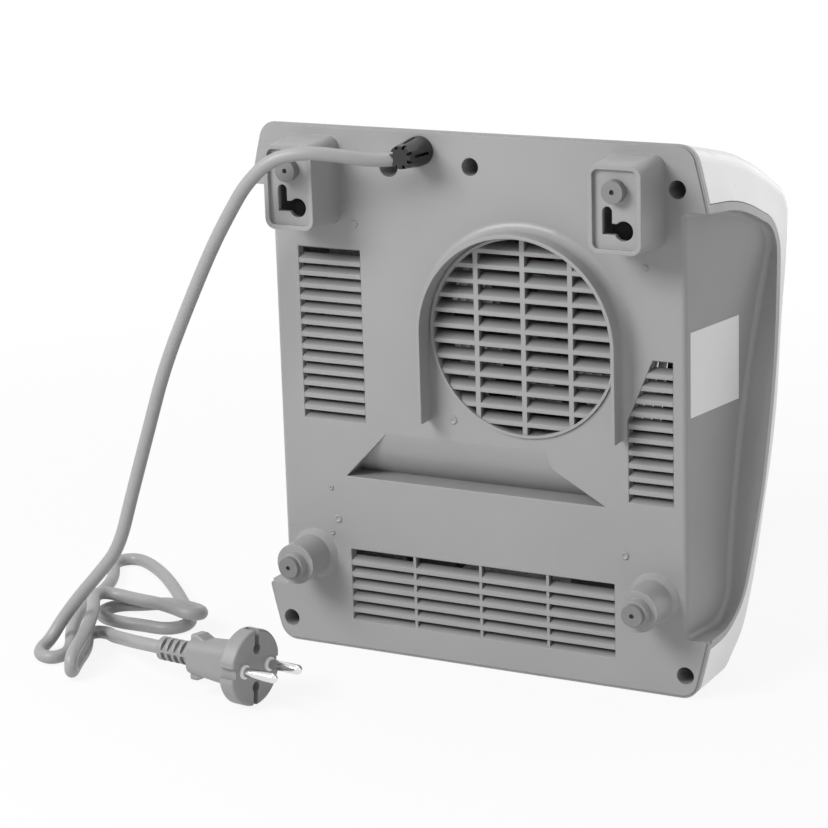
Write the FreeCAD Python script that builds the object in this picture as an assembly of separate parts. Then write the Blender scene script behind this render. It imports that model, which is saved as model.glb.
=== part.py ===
import FreeCAD, Part
import math
import os

Vector = FreeCAD.Vector

# Case: sizes in mm, X to the right seen from the front, depth forward from the rear panel, Z up
WIDTH = 256.0
FLANK_BULGE = 18.0
HEIGHT = 260.0
BODY_DEPTH = 98.0
FRONT_DEPTH = 54.0
FOOT_STEP = 14.0
STANDOFF = 27.0
EDGE_R = 9.0
COVER_T = 2.2
PANEL_T = 2.5
LIP_DEPTH = 3.5
LIP_W = 6.0
RIM_W = 1.2
RIM_STEP = 0.6
SEAM = 0.2
HOLE_GAP = 0.1
CLEAR = 0.3
OVERRUN = 20.0
TOUCH = 0.01

# Side view of the case: depth share, height share and share of the shorter run that a corner arc takes
BROW_SHARES = (0.612, 0.946, 0.45)
NOSE_SHARES = (1.051, 0.85, 0.27)
BEND_SHARES = (0.627, 0.25)
PANEL_TOP_SHARES = (0.315, 0.17)
PANEL_FOOT_SHARES = (0.077, 0.325)
FOOT_SHARE = 0.215

# Side recesses: outline in the side view, lean of the wall, thickness of wall and rim
RECESS_SHARES = (
    (0.0, 0.882, 0.0),
    (0.38, 0.866, 0.45),
    (0.755, 0.804, 0.3),
    (0.62, 0.672, 0.45),
    (0.464, 0.469, 0.45),
    (0.372, 0.2385, 0.35),
    (0.352, 0.112, 0.55),
    (0.0, 0.112, 0.0),
)
RECESS_IN = 21.5
RECESS_FOOT = WIDTH / 2 - RECESS_IN
RECESS_LEAN_SHARE = 0.17
RECESS_WALL = 2.5
RECESS_RIM = 4.0
RIDGE_R = 2.5
RECESS_CORNER_R = 2.0
RECESS_FOLD_R = 2.5

# Blank label on one recess wall
LABEL_START = 4.0
LABEL_END_SHARE = 0.4592
LABEL_LOW_SHARE = 0.5154
LABEL_H = 39.7
LABEL_T = 0.2
LABEL_END = BODY_DEPTH * LABEL_END_SHARE
LABEL_LOW = HEIGHT * LABEL_LOW_SHARE

# Keyhole bosses
BOSS_IN = 45.2
BOSS_DROP = 26.5
BOSS_W = 25.7
BOSS_H = 40.0
BOSS_CORNER_R = 5.0
BOSS_DRAFT = 1.0
BOSS_REACH = 24.5
BOSS_WALL = 2.2
BOSS_SINK = 2.0
BOSS_FLOOR_T = 2.5
KEYHOLE_R = 4.5
KEYHOLE_X = -3.7
KEYHOLE_DROP = 9.6
SLOT_X = 4.2
SLOT_W = 4.7
SLOT_DROP = 11.5
SLOT_H = 10.2
LINK_H = 5.0
BOSS_X = WIDTH / 2 - BOSS_IN
BOSS_Z = HEIGHT - BOSS_DROP
SLOT_LOW = BOSS_Z - SLOT_DROP
SLOT_HIGH = SLOT_LOW + SLOT_H

# Standoff posts at the bottom, and the rubber buffers on posts and bosses
POST_IN = 37.8
POST_Z = 47.0
POST_BASE_R = 12.5
POST_FLARE = 3.5
POST_R = 10.0
POST_REACH = 20.0
SPIGOT_R = 6.5
SPIGOT_REACH = 24.5
POST_BORE_R = 7.5
POST_END_T = 2.5
BUMPER_R = 5.2
BUMPER_RISE = 8.3
BUMPER_HOLE_R = 1.15
BUMPER_DIMPLE = 2.0
STEM_R = 2.0
BARB_R = 3.0
BARB_T = 1.5
POST_X = WIDTH / 2 - POST_IN
BUMPER_Z = BOSS_Z + BUMPER_RISE

# Fan inlet with its hood and grille
FAN_IN = 102.6
FAN_UP_SHARE = 0.6358
INLET_R = 48.0
HOOD_GAP = 0.7
HOOD_T = 1.8
HOOD_REACH = 11.0
HOOD_COVE = 4.5
HOOD_LEG = 43.4
GRILLE_RING_T = 1.4
GRILLE_PROUD = 1.0
GRILLE_DEPTH = 5.0
GRILLE_BAR_W = 2.4
GRILLE_BAR_PITCH = 24.0
GRILLE_ROWS = 13
GRILLE_FACE = 2.0
GRILLE_RISE = 3.0
GRILLE_BLADE = 4.4
FAN_X = FAN_IN - WIDTH / 2
FAN_Z = HEIGHT * FAN_UP_SHARE
HOOD_R = INLET_R + HOOD_GAP

# Louvre banks
LOUVRE_FACE = 2.2
LOUVRE_RISE = 2.4
LOUVRE_BLADE = 3.6
LOUVRE_FLANGE = 2.0
LOUVRE_FLANGE_T = 2.0
LOUVRE_GAP = 0.1
LEFT_VENT_IN_SHARE = 0.232
LEFT_VENT_OUT_SHARE = 0.3633
LEFT_VENT_LOW_SHARE = 0.4462
LEFT_VENT_HIGH_SHARE = 0.7719
LEFT_ROWS = 14
RIGHT_VENT_IN = 28.0
RIGHT_VENT_GAP = 4.3
RIGHT_VENT_LOW_SHARE = 0.3542
RIGHT_VENT_HIGH_SHARE = 0.6169
RIGHT_VENT_CORNER_SHARES = (0.4474, 0.5754)
RIGHT_ROWS = 11
LOWER_VENT_IN = 58.0
LOWER_VENT_LOW = 15.2
LOWER_VENT_H = 36.3
LOWER_ROWS = 6
LOWER_COLUMNS = 4
MULLION_W = 1.4
MULLION_SINK = 0.4

# Scoop below the fan
SCOOP_SHARES = ((0.2773, 0.0), (0.1855, 1.0), (-0.1406, 1.0), (-0.1465, 0.657), (-0.2578, 0.0))
SCOOP_LOW_SHARE = 0.34
SCOOP_GAP = 4.5
SCOOP_CORNER_SHARES = (0.0, 0.0, 0.0, 0.4, 0.0)
SCOOP_DEPTH = 14.0
SCOOP_MIDDLE_SHARE = 0.25
SCOOP_START = 0.1
SCOOP_T = 2.0

# Screw wells and cover screws
TOP_WELL_DROP = 16.2
SIDE_WELL_IN = 25.5
SIDE_WELL_DROP = 20.6
FOOT_WELL_IN = 22.7
FOOT_WELL_UP = 11.3
WELL_BORE_R = 4.2
WELL_R = 5.3
WELL_DEPTH = 32.0
WELL_FLOOR_T = 2.0
PILLAR_R = 3.7
SCREW_R = 1.6
SCREW_HOLE_R = 1.8
SCREW_HEAD_R = 3.2
SCREW_HEAD_T = 2.0
SCREW_BITE = 10.0
DRIVE_W = 1.0
DRIVE_DEPTH = 1.0

# Cord gland, lead clamp and terminal block
CORD_R = 3.25
GLAND_X = 25.8
GLAND_DROP = 10.0
GLAND_R = 7.0
GLAND_TIP_R = 5.4
GLAND_REACH = 19.5
GLAND_NECK_R = 6.0
GLAND_FLANGE_R = 8.5
GLAND_FLANGE_T = 2.5
GLAND_FLANGE_UP = 2.8
GLAND_BORE_R = 3.8
GLAND_SLOT_W = 1.4
GLAND_SLOTS = 4
GLAND_SLOT_START = 4.0
GLAND_SLOT_END = 15.5
GLAND_CORE_R = 3.9
GLAND_TEETH = 8
GLAND_TOOTH_GAP = 1.3
GLAND_TOOTH = 2.5
GLAND_MOUTH_ASIDE = 1.4
GLAND_MOUTH_REACH = 13.2
GLAND_MOUTH_DROP = 1.4
CLAMP_WELL_ASIDE = 16.7
CLAMP_DROP = 8.5
CLAMP_WELL_BORE_R = 4.8
CLAMP_WELL_R = 6.0
CLAMP_POST_ASIDE = 13.3
CLAMP_POST_R = 3.5
CLAMP_DEPTH = 19.6
CLAMP_T = 3.0
CLAMP_H = 9.0
LEAD_DEPTH = 16.0
BLOCK_ASIDE = 8.0
BLOCK_W = 34.0
BLOCK_LOW_SHARE = 0.8115
BLOCK_H = 17.0
BLOCK_DEPTH = 6.0
BLOCK_T = 16.0
BLOCK_POLES = 3
BLOCK_FOOT_R = 3.0
GLAND_Z = HEIGHT - GLAND_DROP
CLAMP_WELL_X = GLAND_X + CLAMP_WELL_ASIDE
CLAMP_WELL_Z = GLAND_Z - CLAMP_DROP
CLAMP_POST_X = GLAND_X - CLAMP_POST_ASIDE
BLOCK_X = GLAND_X + BLOCK_ASIDE
BLOCK_LOW = HEIGHT * BLOCK_LOW_SHARE

# Fan and motor
SHROUD_GAP = 0.3
SHROUD_T = 2.0
LUG_OUT = 5.2
LUG_R = 4.5
LUG_DEPTH = 9.0
LUG_T = 2.5
LUG_ANGLES = (90.0, 230.0, 310.0)
PAD_OUT = 2.2
PAD_R = 4.0
PAD_T = 12.0
TIP_GAP = 4.3
IMPELLER_START = 8.5
IMPELLER_T = 12.0
IMPELLER_GAP = 1.0
HUB_R = 12.0
HUB_WALL = 2.0
BLADES = 6
BLADE_CHORD = 18.0
BLADE_T = 1.6
BLADE_PITCH = 35.0
SHAFT_R = 2.0
SHAFT_CLEAR = 0.05
SHAFT_START = 6.4
SHAFT_PROUD = 0.5
NUT_R = 4.0
NUT_T = 2.0
BRACKET_T = 2.0
BRACKET_H = 16.0
BUSH_R = 5.0
BUSH_PROUD = 0.5
SPACER_T = 4.8
STATOR_T = 12.0
STATOR_W = 50.0
STATOR_BELOW = 19.0
STATOR_ABOVE = 42.0
STATOR_BORE_R = 14.3
STATOR_LEG = 11.0
WINDOW_LOW = 17.0
COIL_T = 6.4
COIL_SIDE = 0.4
ROTOR_R = 14.0
STRAP_GAP = 4.0
STRAP_H = 12.0
TIE_X = 19.7
SPACER_R = 3.2
SHROUD_R = INLET_R + SHROUD_GAP
LUG_RADIUS = SHROUD_R + SHROUD_T + LUG_OUT
PAD_RADIUS = SHROUD_R + SHROUD_T + PAD_OUT
IMPELLER_R = SHROUD_R - TIP_GAP
SHROUD_END = IMPELLER_START + IMPELLER_T + IMPELLER_GAP
BRACKET_END = SHROUD_END + BRACKET_T
STATOR_START = BRACKET_END + SPACER_T
STATOR_END = STATOR_START + STATOR_T
STRAP_START = STATOR_END + STRAP_GAP
STRAP_END = STRAP_START + BRACKET_T
SHAFT_END = STRAP_END + SCREW_HEAD_T + SHAFT_PROUD

# Outlet grille and heating element, which leans with the front
OUTLET_IN = 48.0
OUTLET_LOW_SHARE = 0.4154
OUTLET_HIGH_SHARE = 0.7231
OUTLET_ROWS = 9
OUTLET_COLUMNS = 5
OUTLET_RIB = 3.2
OUTLET_BORDER = 4.0
LEAN_SHARE = 0.333
ELEMENT_LAP = 2.0
ELEMENT_GAP = 1.0
MOTOR_GAP = 8.0
ELEMENT_T = 12.0
ELEMENT_WALL = 6.0
EAR_W = 9.0
EAR_H = 12.0
EAR_T = 3.0
EAR_IN = 12.0
EAR_POST_R = 3.4
FIN_COUNT = 33
FIN_T = 0.35
FIN_INSET = 1.0
BAR_COUNT = 4
BAR_H = 2.5
TAB_COUNT = 3
TAB_W = 6.3
TAB_T = 0.8
TAB_LENGTH = 9.0
TAB_PITCH = 14.0
TAB_IN = 30.0
CUTOUT_IN = 40.0
CUTOUT_R = 5.5
CUTOUT_T = 8.0
FUSE_IN = 20.0
FUSE_R = 2.0
FUSE_LENGTH = 14.0
OUTLET_W = WIDTH - OUTLET_IN * 2
OUTLET_LOW = HEIGHT * OUTLET_LOW_SHARE
OUTLET_HIGH = HEIGHT * OUTLET_HIGH_SHARE
MID_Z = (OUTLET_LOW + OUTLET_HIGH) / 2
ELEMENT_W = OUTLET_W + ELEMENT_LAP * 2
ELEMENT_H = OUTLET_HIGH - OUTLET_LOW + ELEMENT_LAP * 2
EAR_UP = ELEMENT_H / 2 - EAR_IN
TAB_X = TAB_IN - ELEMENT_W / 2
CUTOUT_X = ELEMENT_W / 2 - CUTOUT_IN
FUSE_X = FUSE_IN - ELEMENT_W / 2

# Controls on the front panel
CONTROL_X = 45.0
CONTROL_Z = 48.0
CONTROL_W = 28.0
CONTROL_T = 16.0
SPINDLE_R = 3.0
SPINDLE_IN = 12.0
SPINDLE_OUT = 11.0
SPINDLE_FLAT = 1.0
COLLAR_R = 5.0
COLLAR_OUT = 4.0
HEX_R = 7.5
HEX_T = 2.5
KNOB_R = 18.0
KNOB_T = 15.0
KNOB_GAP = 0.6
KNOB_TOP_SHARE = 0.88
KNOB_WELL_R = 14.0
KNOB_WELL_T = 6.0
KNOB_CAP = 3.5
POINTER_W = 5.0
POINTER_T = 2.0
POINTER_ANGLES = {"thermostat": 225.0, "selector": 292.5}
LAMP_R = 4.0
LENS_RIM_R = 5.0
LENS_PROUD = 1.5
LAMP_LENGTH = 14.0

# Wires inside
WIRE_R = 1.1
WIRE_FALL = 12.0
WIRE_PITCH = 4.4

# Plug
PLUG_RELIEF_R = 5.7
PLUG_RELIEF_LENGTH = 19.5
PLUG_NECK_LENGTH = 27.5
PLUG_DISC_T = 8.5
PLUG_DISC_R = 18.2
PLUG_DISC_W = 35.0
PLUG_NECK_W = 15.0
PLUG_NECK_H = 17.0
PLUG_ROOT_W = 20.0
PLUG_ROOT_H = 21.0
PLUG_NECK_CORNER_R = 5.5
PLUG_BUMP_T = 4.0
PLUG_BUMP_RAMP = 5.5
PLUG_BUMP_H = 2.6
PLUG_BUMP_W = 9.0
PLUG_EDGE = 1.2
PLUG_ROLL = 6.0
PLUG_SLOT_W = 3.2
PLUG_SLOT_LENGTH = 9.0
PLUG_SLOT_END_R = 2.6
PLUG_SLOT_DEPTH = 6.5
PLUG_NOTCH = 2.0
PLUG_NOTCH_H = 5.0
PLUG_RIB_W = 2.2
PLUG_RIB_DEPTH = 1.6
PLUG_RIB_ROWS = 4
PLUG_RIB_H = 7.0
PIN_R = 2.4
PIN_LENGTH = 19.0
PIN_SPACING = 19.0
PIN_SOCKET = 4.0
COLLAR_PIN_R = 3.4
COLLAR_PIN_T = 1.0

# Mains cord: points of its route from gland to plug, as distance to the right, behind the panel and up
TURN_SHARE = 0.45
ROUTE = (
    (27.2, 13.2, 248.6),
    (37.0, 20.5, 247.9),
    (48.5, 28.0, 250.6),
    (65.0, 37.0, 253.4),
    (81.5, 40.5, 250.0),
    (95.5, 41.0, 237.5),
    (106.0, 40.0, 222.5),
    (116.5, 39.3, 206.0),
    (131.5, 38.8, 177.5),
    (147.5, 38.5, 144.5),
    (158.0, 39.5, 112.5),
    (166.9, 43.8, 80.1),
    (172.9, 48.5, 53.8),
    (183.9, 50.5, 40.2),
    (195.2, 52.0, 27.6),
    (204.6, 55.5, 14.8),
    (208.6, 61.5, 5.2),
    (208.8, 69.5, 3.3),
    (203.5, 77.5, 3.3),
    (195.2, 78.8, 3.3),
    (192.3, 70.3, 3.3),
    (198.6, 57.5, 3.3),
    (208.2, 44.0, 3.3),
    (216.0, 29.5, 3.3),
    (223.0, 14.5, 3.3),
    (227.5, -1.0, 3.3),
    (230.0, -17.0, 3.3),
    (235.0, -32.5, 3.3),
    (242.0, -45.5, 3.3),
    (249.5, -55.5, 3.3),
    (250.5, -65.0, 3.3),
    (243.0, -70.0, 3.3),
    (231.5, -65.0, 3.3),
    (214.5, -52.0, 3.3),
    (198.0, -36.0, 3.3),
    (183.0, -20.0, 3.3),
    (170.5, -6.0, 3.3),
    (161.5, 4.5, 3.3),
    (160.5, 14.0, 3.3),
    (167.0, 21.0, 3.3),
    (180.0, 20.5, 3.3),
    (195.0, 21.3, 3.3),
    (207.5, 18.0, 3.3),
    (213.0, 8.5, 3.3),
    (209.0, -1.5, 3.3),
    (197.0, -4.0, 4.2),
    (183.5, -1.5, 7.5),
    (171.0, 2.0, 9.8),
    (161.0, 5.0, 10.2),
    (153.0, 8.5, 10.8),
    (148.5, 15.5, 12.0),
    (153.0, 21.4, 13.4),
    (163.5, 18.0, 14.0),
    (177.0, 12.5, 13.2),
    (193.0, 6.0, 10.8),
    (206.0, 3.0, 10.6),
    (213.5, 6.5, 12.2),
    (213.8, 14.5, 13.2),
    (207.5, 24.0, 13.5),
    (197.5, 39.5, 13.6),
    (188.0, 58.5, 13.4),
    (180.0, 77.5, 12.8),
    (174.0, 92.5, 12.5),
    (173.0, 95.1, 7.9),
    (174.6, 92.5, 3.3),
    (180.8, 79.0, 3.3),
    (186.5, 63.5, 3.3),
    (193.3, 51.5, 3.3),
    (198.2, 45.2, 3.3),
    (197.8, 37.4, 3.3),
    (189.0, 38.6, 4.0),
    (179.7, 48.6, 7.0),
    (168.4, 58.0, 10.6),
    (156.0, 68.9, 14.8),
    (144.5, 78.0, 18.3),
    (129.6, 79.6, 18.3),
)

FORWARD = Vector(0, -1, 0)
ACROSS = Vector(1, 0, 0)
UP = Vector(0, 0, 1)
ORIGIN = Vector(0, 0, 0)
FULL_TURN = 360.0
HALF_TURN = 180.0
QUARTER_TURN = 90.0

# Outlines worked out from the sizes above: the front bends just ahead of the element, which leans with it
NOSE_DEPTH = BODY_DEPTH * NOSE_SHARES[0]
NOSE_Z = HEIGHT * NOSE_SHARES[1]
BEND_Z = HEIGHT * BEND_SHARES[0]
PANEL_TOP = HEIGHT * PANEL_TOP_SHARES[0]
PIVOT_DEPTH = SHAFT_END + MOTOR_GAP + ELEMENT_T
BEND_DEPTH = PIVOT_DEPTH + ELEMENT_GAP + COVER_T
LOWER_LEAN = math.atan2(BEND_DEPTH - FRONT_DEPTH, BEND_Z - PANEL_TOP)
UPPER_LEAN = math.atan2(NOSE_DEPTH - BEND_DEPTH, NOSE_Z - BEND_Z)
LEAN = LOWER_LEAN + (UPPER_LEAN - LOWER_LEAN) * LEAN_SHARE
ELEMENT_DEPTH = PIVOT_DEPTH - (BEND_Z - MID_Z) * math.tan(LEAN)
PROFILE = (
    (0, HEIGHT, 0),
    (BODY_DEPTH * BROW_SHARES[0], HEIGHT * BROW_SHARES[1], BROW_SHARES[2]),
    (NOSE_DEPTH, NOSE_Z, NOSE_SHARES[2]),
    (BEND_DEPTH, BEND_Z, BEND_SHARES[1]),
    (FRONT_DEPTH, PANEL_TOP, PANEL_TOP_SHARES[1]),
    (FRONT_DEPTH, HEIGHT * PANEL_FOOT_SHARES[0], PANEL_FOOT_SHARES[1]),
    (FRONT_DEPTH - FOOT_STEP, 0, FOOT_SHARE),
    (0, 0, 0),
)
RECESS = [(BODY_DEPTH * d, HEIGHT * z, share) for d, z, share in RECESS_SHARES]
SIDE_WELL_X = WIDTH / 2 - SIDE_WELL_IN
SIDE_WELL_Z = HEIGHT - SIDE_WELL_DROP
FOOT_WELL_X = WIDTH / 2 - FOOT_WELL_IN
WELLS = [(0, HEIGHT - TOP_WELL_DROP)]
WELLS += [(x, SIDE_WELL_Z) for x in (SIDE_WELL_X, -SIDE_WELL_X)]
WELLS += [(x, FOOT_WELL_UP) for x in (FOOT_WELL_X, -FOOT_WELL_X)]


def rectangle(x0, x1, z0, z1):
    return ((x0, z0), (x1, z0), (x1, z1), (x0, z1))


left_x = (WIDTH * LEFT_VENT_IN_SHARE, WIDTH * LEFT_VENT_OUT_SHARE)
LEFT_VENT = rectangle(*left_x, HEIGHT * LEFT_VENT_LOW_SHARE, HEIGHT * LEFT_VENT_HIGH_SHARE)
right_x = (RIGHT_VENT_IN - WIDTH / 2, FAN_X - INLET_R - RIGHT_VENT_GAP)
right_z = (HEIGHT * RIGHT_VENT_LOW_SHARE, HEIGHT * RIGHT_VENT_HIGH_SHARE)
right_corner_x = right_x[0] + (right_x[1] - right_x[0]) * RIGHT_VENT_CORNER_SHARES[0]
right_corner_z = right_z[0] + (right_z[1] - right_z[0]) * RIGHT_VENT_CORNER_SHARES[1]
RIGHT_VENT = rectangle(*right_x, *right_z)
RIGHT_VENT = RIGHT_VENT[:2] + ((right_x[1], right_corner_z), (right_corner_x, right_z[1])) + RIGHT_VENT[3:]
lower_x = WIDTH / 2 - LOWER_VENT_IN
LOWER_VENT = rectangle(-lower_x, lower_x, LOWER_VENT_LOW, LOWER_VENT_LOW + LOWER_VENT_H)
SCOOP_LOW = HEIGHT * SCOOP_LOW_SHARE
SCOOP_HIGH = FAN_Z - INLET_R - SCOOP_GAP
SCOOP_OUTLINE = [(WIDTH * x, SCOOP_LOW + (SCOOP_HIGH - SCOOP_LOW) * z) for x, z in SCOOP_SHARES]


def pt(x, depth, z):
    return Vector(x, -depth, z)


def unit(v):
    return v * (1 / v.Length)


def rod(x, z, radius, start, end):
    return Part.makeCylinder(radius, end - start, pt(x, start, z), FORWARD)


def ring(x, z, outer, inner, start, end):
    return rod(x, z, outer, start, end).cut(rod(x, z, inner, start - OVERRUN, end + OVERRUN))


def block(x0, x1, d0, d1, z0, z1):
    return Part.makeBox(x1 - x0, d1 - d0, z1 - z0, pt(x0, d1, z0))


def join(shapes):
    return shapes[0].multiFuse(shapes[1:]).removeSplitter()


def corner_path(points, shares):
    # Straight runs with tangent arcs at the corners
    edges = []
    start = points[0]
    for k in range(1, len(points) - 1):
        before = points[k] - points[k - 1]
        after = points[k + 1] - points[k]
        cut = shares[k] * min(before.Length, after.Length)
        near = points[k] - unit(before) * cut
        far = points[k] + unit(after) * cut
        edges.append(Part.makeLine(start, near))
        if cut > 0:
            half = before.getAngle(after) / 2
            radius = cut / math.tan(half)
            inward = unit(unit(after) - unit(before))
            middle = points[k] + inward * (radius / math.cos(half) - radius)
            edges.append(Part.Arc(near, middle, far).toShape())
        start = far
    edges.append(Part.makeLine(start, points[-1]))
    return edges


def tube(points, radius):
    path = Part.Wire(corner_path(points, [TURN_SHARE] * len(points)))
    mouth = Part.Wire(Part.makeCircle(radius, points[0], points[1] - points[0]))
    return path.makePipeShell([mouth], True, False)


def polygon(points):
    return Part.Face(Part.makePolygon(list(points) + [points[0]]))


def flat(outline, depth):
    return polygon([pt(x, depth, z) for x, z in outline])


def prism(face, start, end):
    # A face that lies in the rear plane, drawn out from one depth to another
    return face.translated(FORWARD * start).extrude(FORWARD * (end - start))


def grown(face, by):
    return face.makeOffset2D(by, 2)


def side_face(table):
    points = [pt(-WIDTH, -OVERRUN, table[0][1])]
    points += [pt(-WIDTH, d, z) for d, z, _ in table]
    points.append(pt(-WIDTH, -OVERRUN, table[-1][1]))
    shares = [0] + [share for _, _, share in table] + [0]
    edges = corner_path(points, shares)
    edges.append(Part.makeLine(points[-1], points[0]))
    return Part.Face(Part.Wire(edges))


def full_width(face):
    return face.extrude(ACROSS * (WIDTH * 2))


FLANK_R = ((HEIGHT / 2) ** 2 + FLANK_BULGE ** 2) / (FLANK_BULGE * 2)
FLANK_X = WIDTH / 2 - FLANK_R


def flank(z, inset):
    return FLANK_X + math.sqrt((FLANK_R - inset) ** 2 - (z - HEIGHT / 2) ** 2)


def flank_face(inset):
    low = -OVERRUN
    high = HEIGHT + OVERRUN
    mid = HEIGHT / 2
    right = [pt(flank(z, inset), 0, z) for z in (low, mid, high)]
    left = [pt(-flank(z, inset), 0, z) for z in (high, mid, low)]
    edges = [Part.Arc(*right).toShape(), Part.makeLine(right[-1], left[0])]
    edges += [Part.Arc(*left).toShape(), Part.makeLine(left[-1], right[0])]
    return Part.Face(Part.Wire(edges))


def envelope(inset, rear):
    # The case as a solid, drawn in by an inset, with its long edges rounded
    face = side_face(PROFILE)
    if inset:
        face = face.makeOffset2D(-inset)
    body = full_width(face).common(prism(flank_face(inset), rear, BODY_DEPTH + OVERRUN)).Solids[0]
    chain = []
    for edge in body.Edges:
        p = edge.valueAt((edge.FirstParameter + edge.LastParameter) / 2)
        if abs(abs(p.x) - flank(p.z, inset)) < TOUCH and -p.y > rear + TOUCH:
            chain.append(edge)
    return body.makeFillet(EDGE_R - inset, chain)


def slice_depth(shape, start, end):
    return shape.common(block(-WIDTH, WIDTH, start, end, -HEIGHT, HEIGHT * 2))


def mirrored(shape):
    return shape.mirror(ORIGIN, ACROSS)


def upright(points, low, high):
    # An outline seen from above, drawn out from one height to another
    face = polygon([pt(x, d, low) for x, d in points])
    return face.extrude(UP * (high - low))


def wall_x(depth):
    return RECESS_FOOT + RECESS_LEAN_SHARE * (depth - RIDGE_R)


def recess_room():
    # The hollow of the right-hand recess, with the ridge beside the panel rounded
    start = RECESS_FOOT - RIDGE_R
    far = BODY_DEPTH + OVERRUN
    bend = RIDGE_R * math.sqrt(1 / 2)
    p = [pt(start, -OVERRUN, 0), pt(start, 0, 0)]
    p += [pt(start + bend, RIDGE_R - bend, 0), pt(RECESS_FOOT, RIDGE_R, 0)]
    p += [pt(wall_x(far), far, 0), pt(WIDTH, far, 0), pt(WIDTH, -OVERRUN, 0)]
    edges = [Part.makeLine(p[0], p[1]), Part.Arc(p[1], p[2], p[3]).toShape()]
    edges += [Part.makeLine(a, b) for a, b in zip(p[3:], p[4:] + p[:1])]
    room = Part.Face(Part.Wire(edges)).extrude(UP * HEIGHT)
    room = room.common(full_width(side_face(RECESS)))
    fold = []
    for edge in room.Edges:
        p = edge.valueAt((edge.FirstParameter + edge.LastParameter) / 2)
        depth = -p.y
        reach = math.hypot(p.x - start, depth - RIDGE_R)
        on_ridge = TOUCH < depth < RIDGE_R - TOUCH and abs(reach - RIDGE_R) < TOUCH
        if on_ridge or depth > RIDGE_R + TOUCH and abs(p.x - wall_x(depth)) < TOUCH:
            fold.append(edge)
    room = room.makeFillet(RECESS_FOLD_R, fold)
    low = RECESS[-1][1]
    centre_z = low - RECESS_CORNER_R
    centre_x = flank(centre_z, 0) - RECESS_CORNER_R
    corner = block(centre_x, WIDTH, -OVERRUN, LIP_DEPTH, centre_z, low)
    return room.fuse(corner.cut(rod(centre_x, centre_z, RECESS_CORNER_R, -OVERRUN, LIP_DEPTH)))


def recess_skin(outer, room):
    far = BODY_DEPTH + OVERRUN
    inner = [(wall_x(d) - RECESS_WALL, d) for d in (0, far)]
    wedge = upright(inner + [(WIDTH, far), (WIDTH, 0)], 0, HEIGHT)
    skin = wedge.common(full_width(side_face(RECESS).makeOffset2D(RECESS_RIM)))
    return slice_depth(skin.common(outer), RIM_STEP, far).cut(room)


def rounded_rect(x, z, width, height, radius, depth):
    w = width / 2
    h = height / 2
    corners = [(x + w, z + h), (x - w, z + h), (x - w, z - h), (x + w, z - h)]
    points = [pt(x + w, depth, z)] + [pt(a, depth, b) for a, b in corners] + [pt(x + w, depth, z)]
    shares = [0]
    for k in range(1, len(points) - 1):
        shorter = min((points[k] - points[k - 1]).Length, (points[k + 1] - points[k]).Length)
        shares.append(radius / shorter)
    return Part.Wire(corner_path(points, shares))


def tapered(x, z, width, height, radius, draft, start, end):
    # A rounded box that narrows towards its end
    wide = rounded_rect(x, z, width + draft * 2, height + draft * 2, radius, start)
    narrow = rounded_rect(x, z, width, height, radius, end)
    return Part.makeLoft([wide, narrow], True, True)


def turned(x, z, outline, angle):
    face = polygon([pt(x + r, d, z) for r, d in outline])
    return face.revolve(pt(x, 0, z), FORWARD, angle)


def blades(low, rows, pitch, face, rise, depth, half):
    shapes = []
    for k in range(rows):
        z = low + pitch * k
        tip = z + rise
        section = [pt(-half, 0, z - face), pt(-half, 0, z)]
        section += [pt(-half, depth, tip), pt(-half, depth, tip - face)]
        shapes.append(polygon(section).extrude(ACROSS * (half * 2)))
    return shapes


def louvre_bank(outline, rows):
    window = flat(outline, 0)
    low = min(z for _, z in outline)
    high = max(z for _, z in outline)
    pitch = (high - low) / rows
    end = PANEL_T + LOUVRE_FLANGE_T
    room = prism(grown(window, -LOUVRE_GAP), 0, end)
    slats = [s.common(room) for s in blades(low, rows, pitch, LOUVRE_FACE, LOUVRE_RISE, LOUVRE_BLADE, WIDTH)]
    flange = prism(grown(window, LOUVRE_FLANGE), PANEL_T, end)
    flange = flange.cut(prism(grown(window, -LOUVRE_FLANGE / 2), 0, end + OVERRUN))
    return slats + [flange]


def screw(x, z, head, length, head_r):
    # A slotted screw whose head looks to the rear at the given depth
    body = rod(x, z, head_r, head, head + SCREW_HEAD_T)
    body = body.fuse(rod(x, z, SCREW_R, head + SCREW_HEAD_T, head + length))
    return body.cut(block(x - DRIVE_W / 2, x + DRIVE_W / 2, head, head + DRIVE_DEPTH, z - head_r, z + head_r))


def front_screw(x, z, head, length, head_r):
    # The same screw after half a turn about an upright line, so that it looks to the front
    return screw(x, z, -head, length, head_r).rotated(pt(x, 0, z), UP, HALF_TURN)


def on_circle(radius, angle):
    a = math.radians(angle)
    return FAN_X + radius * math.cos(a), FAN_Z + radius * math.sin(a)


def leaning(shape):
    # From the upright place of the element to its leaning place behind the front
    return shape.rotated(pt(0, ELEMENT_DEPTH, MID_Z), ACROSS, math.degrees(LEAN))


def regular(x, z, radius, sides):
    corners = [FULL_TURN / sides * k for k in range(sides)]
    return [(x + radius * math.cos(math.radians(a)), z + radius * math.sin(math.radians(a))) for a in corners]


outer = envelope(0, 0)
inner = envelope(COVER_T, -OVERRUN)
NOSE = -outer.BoundBox.YMin
PLATE_Y = (NOSE - STANDOFF) / 2
PANEL_BACK = FRONT_DEPTH - COVER_T
FAR = BODY_DEPTH + OVERRUN

parts = {}

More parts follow.
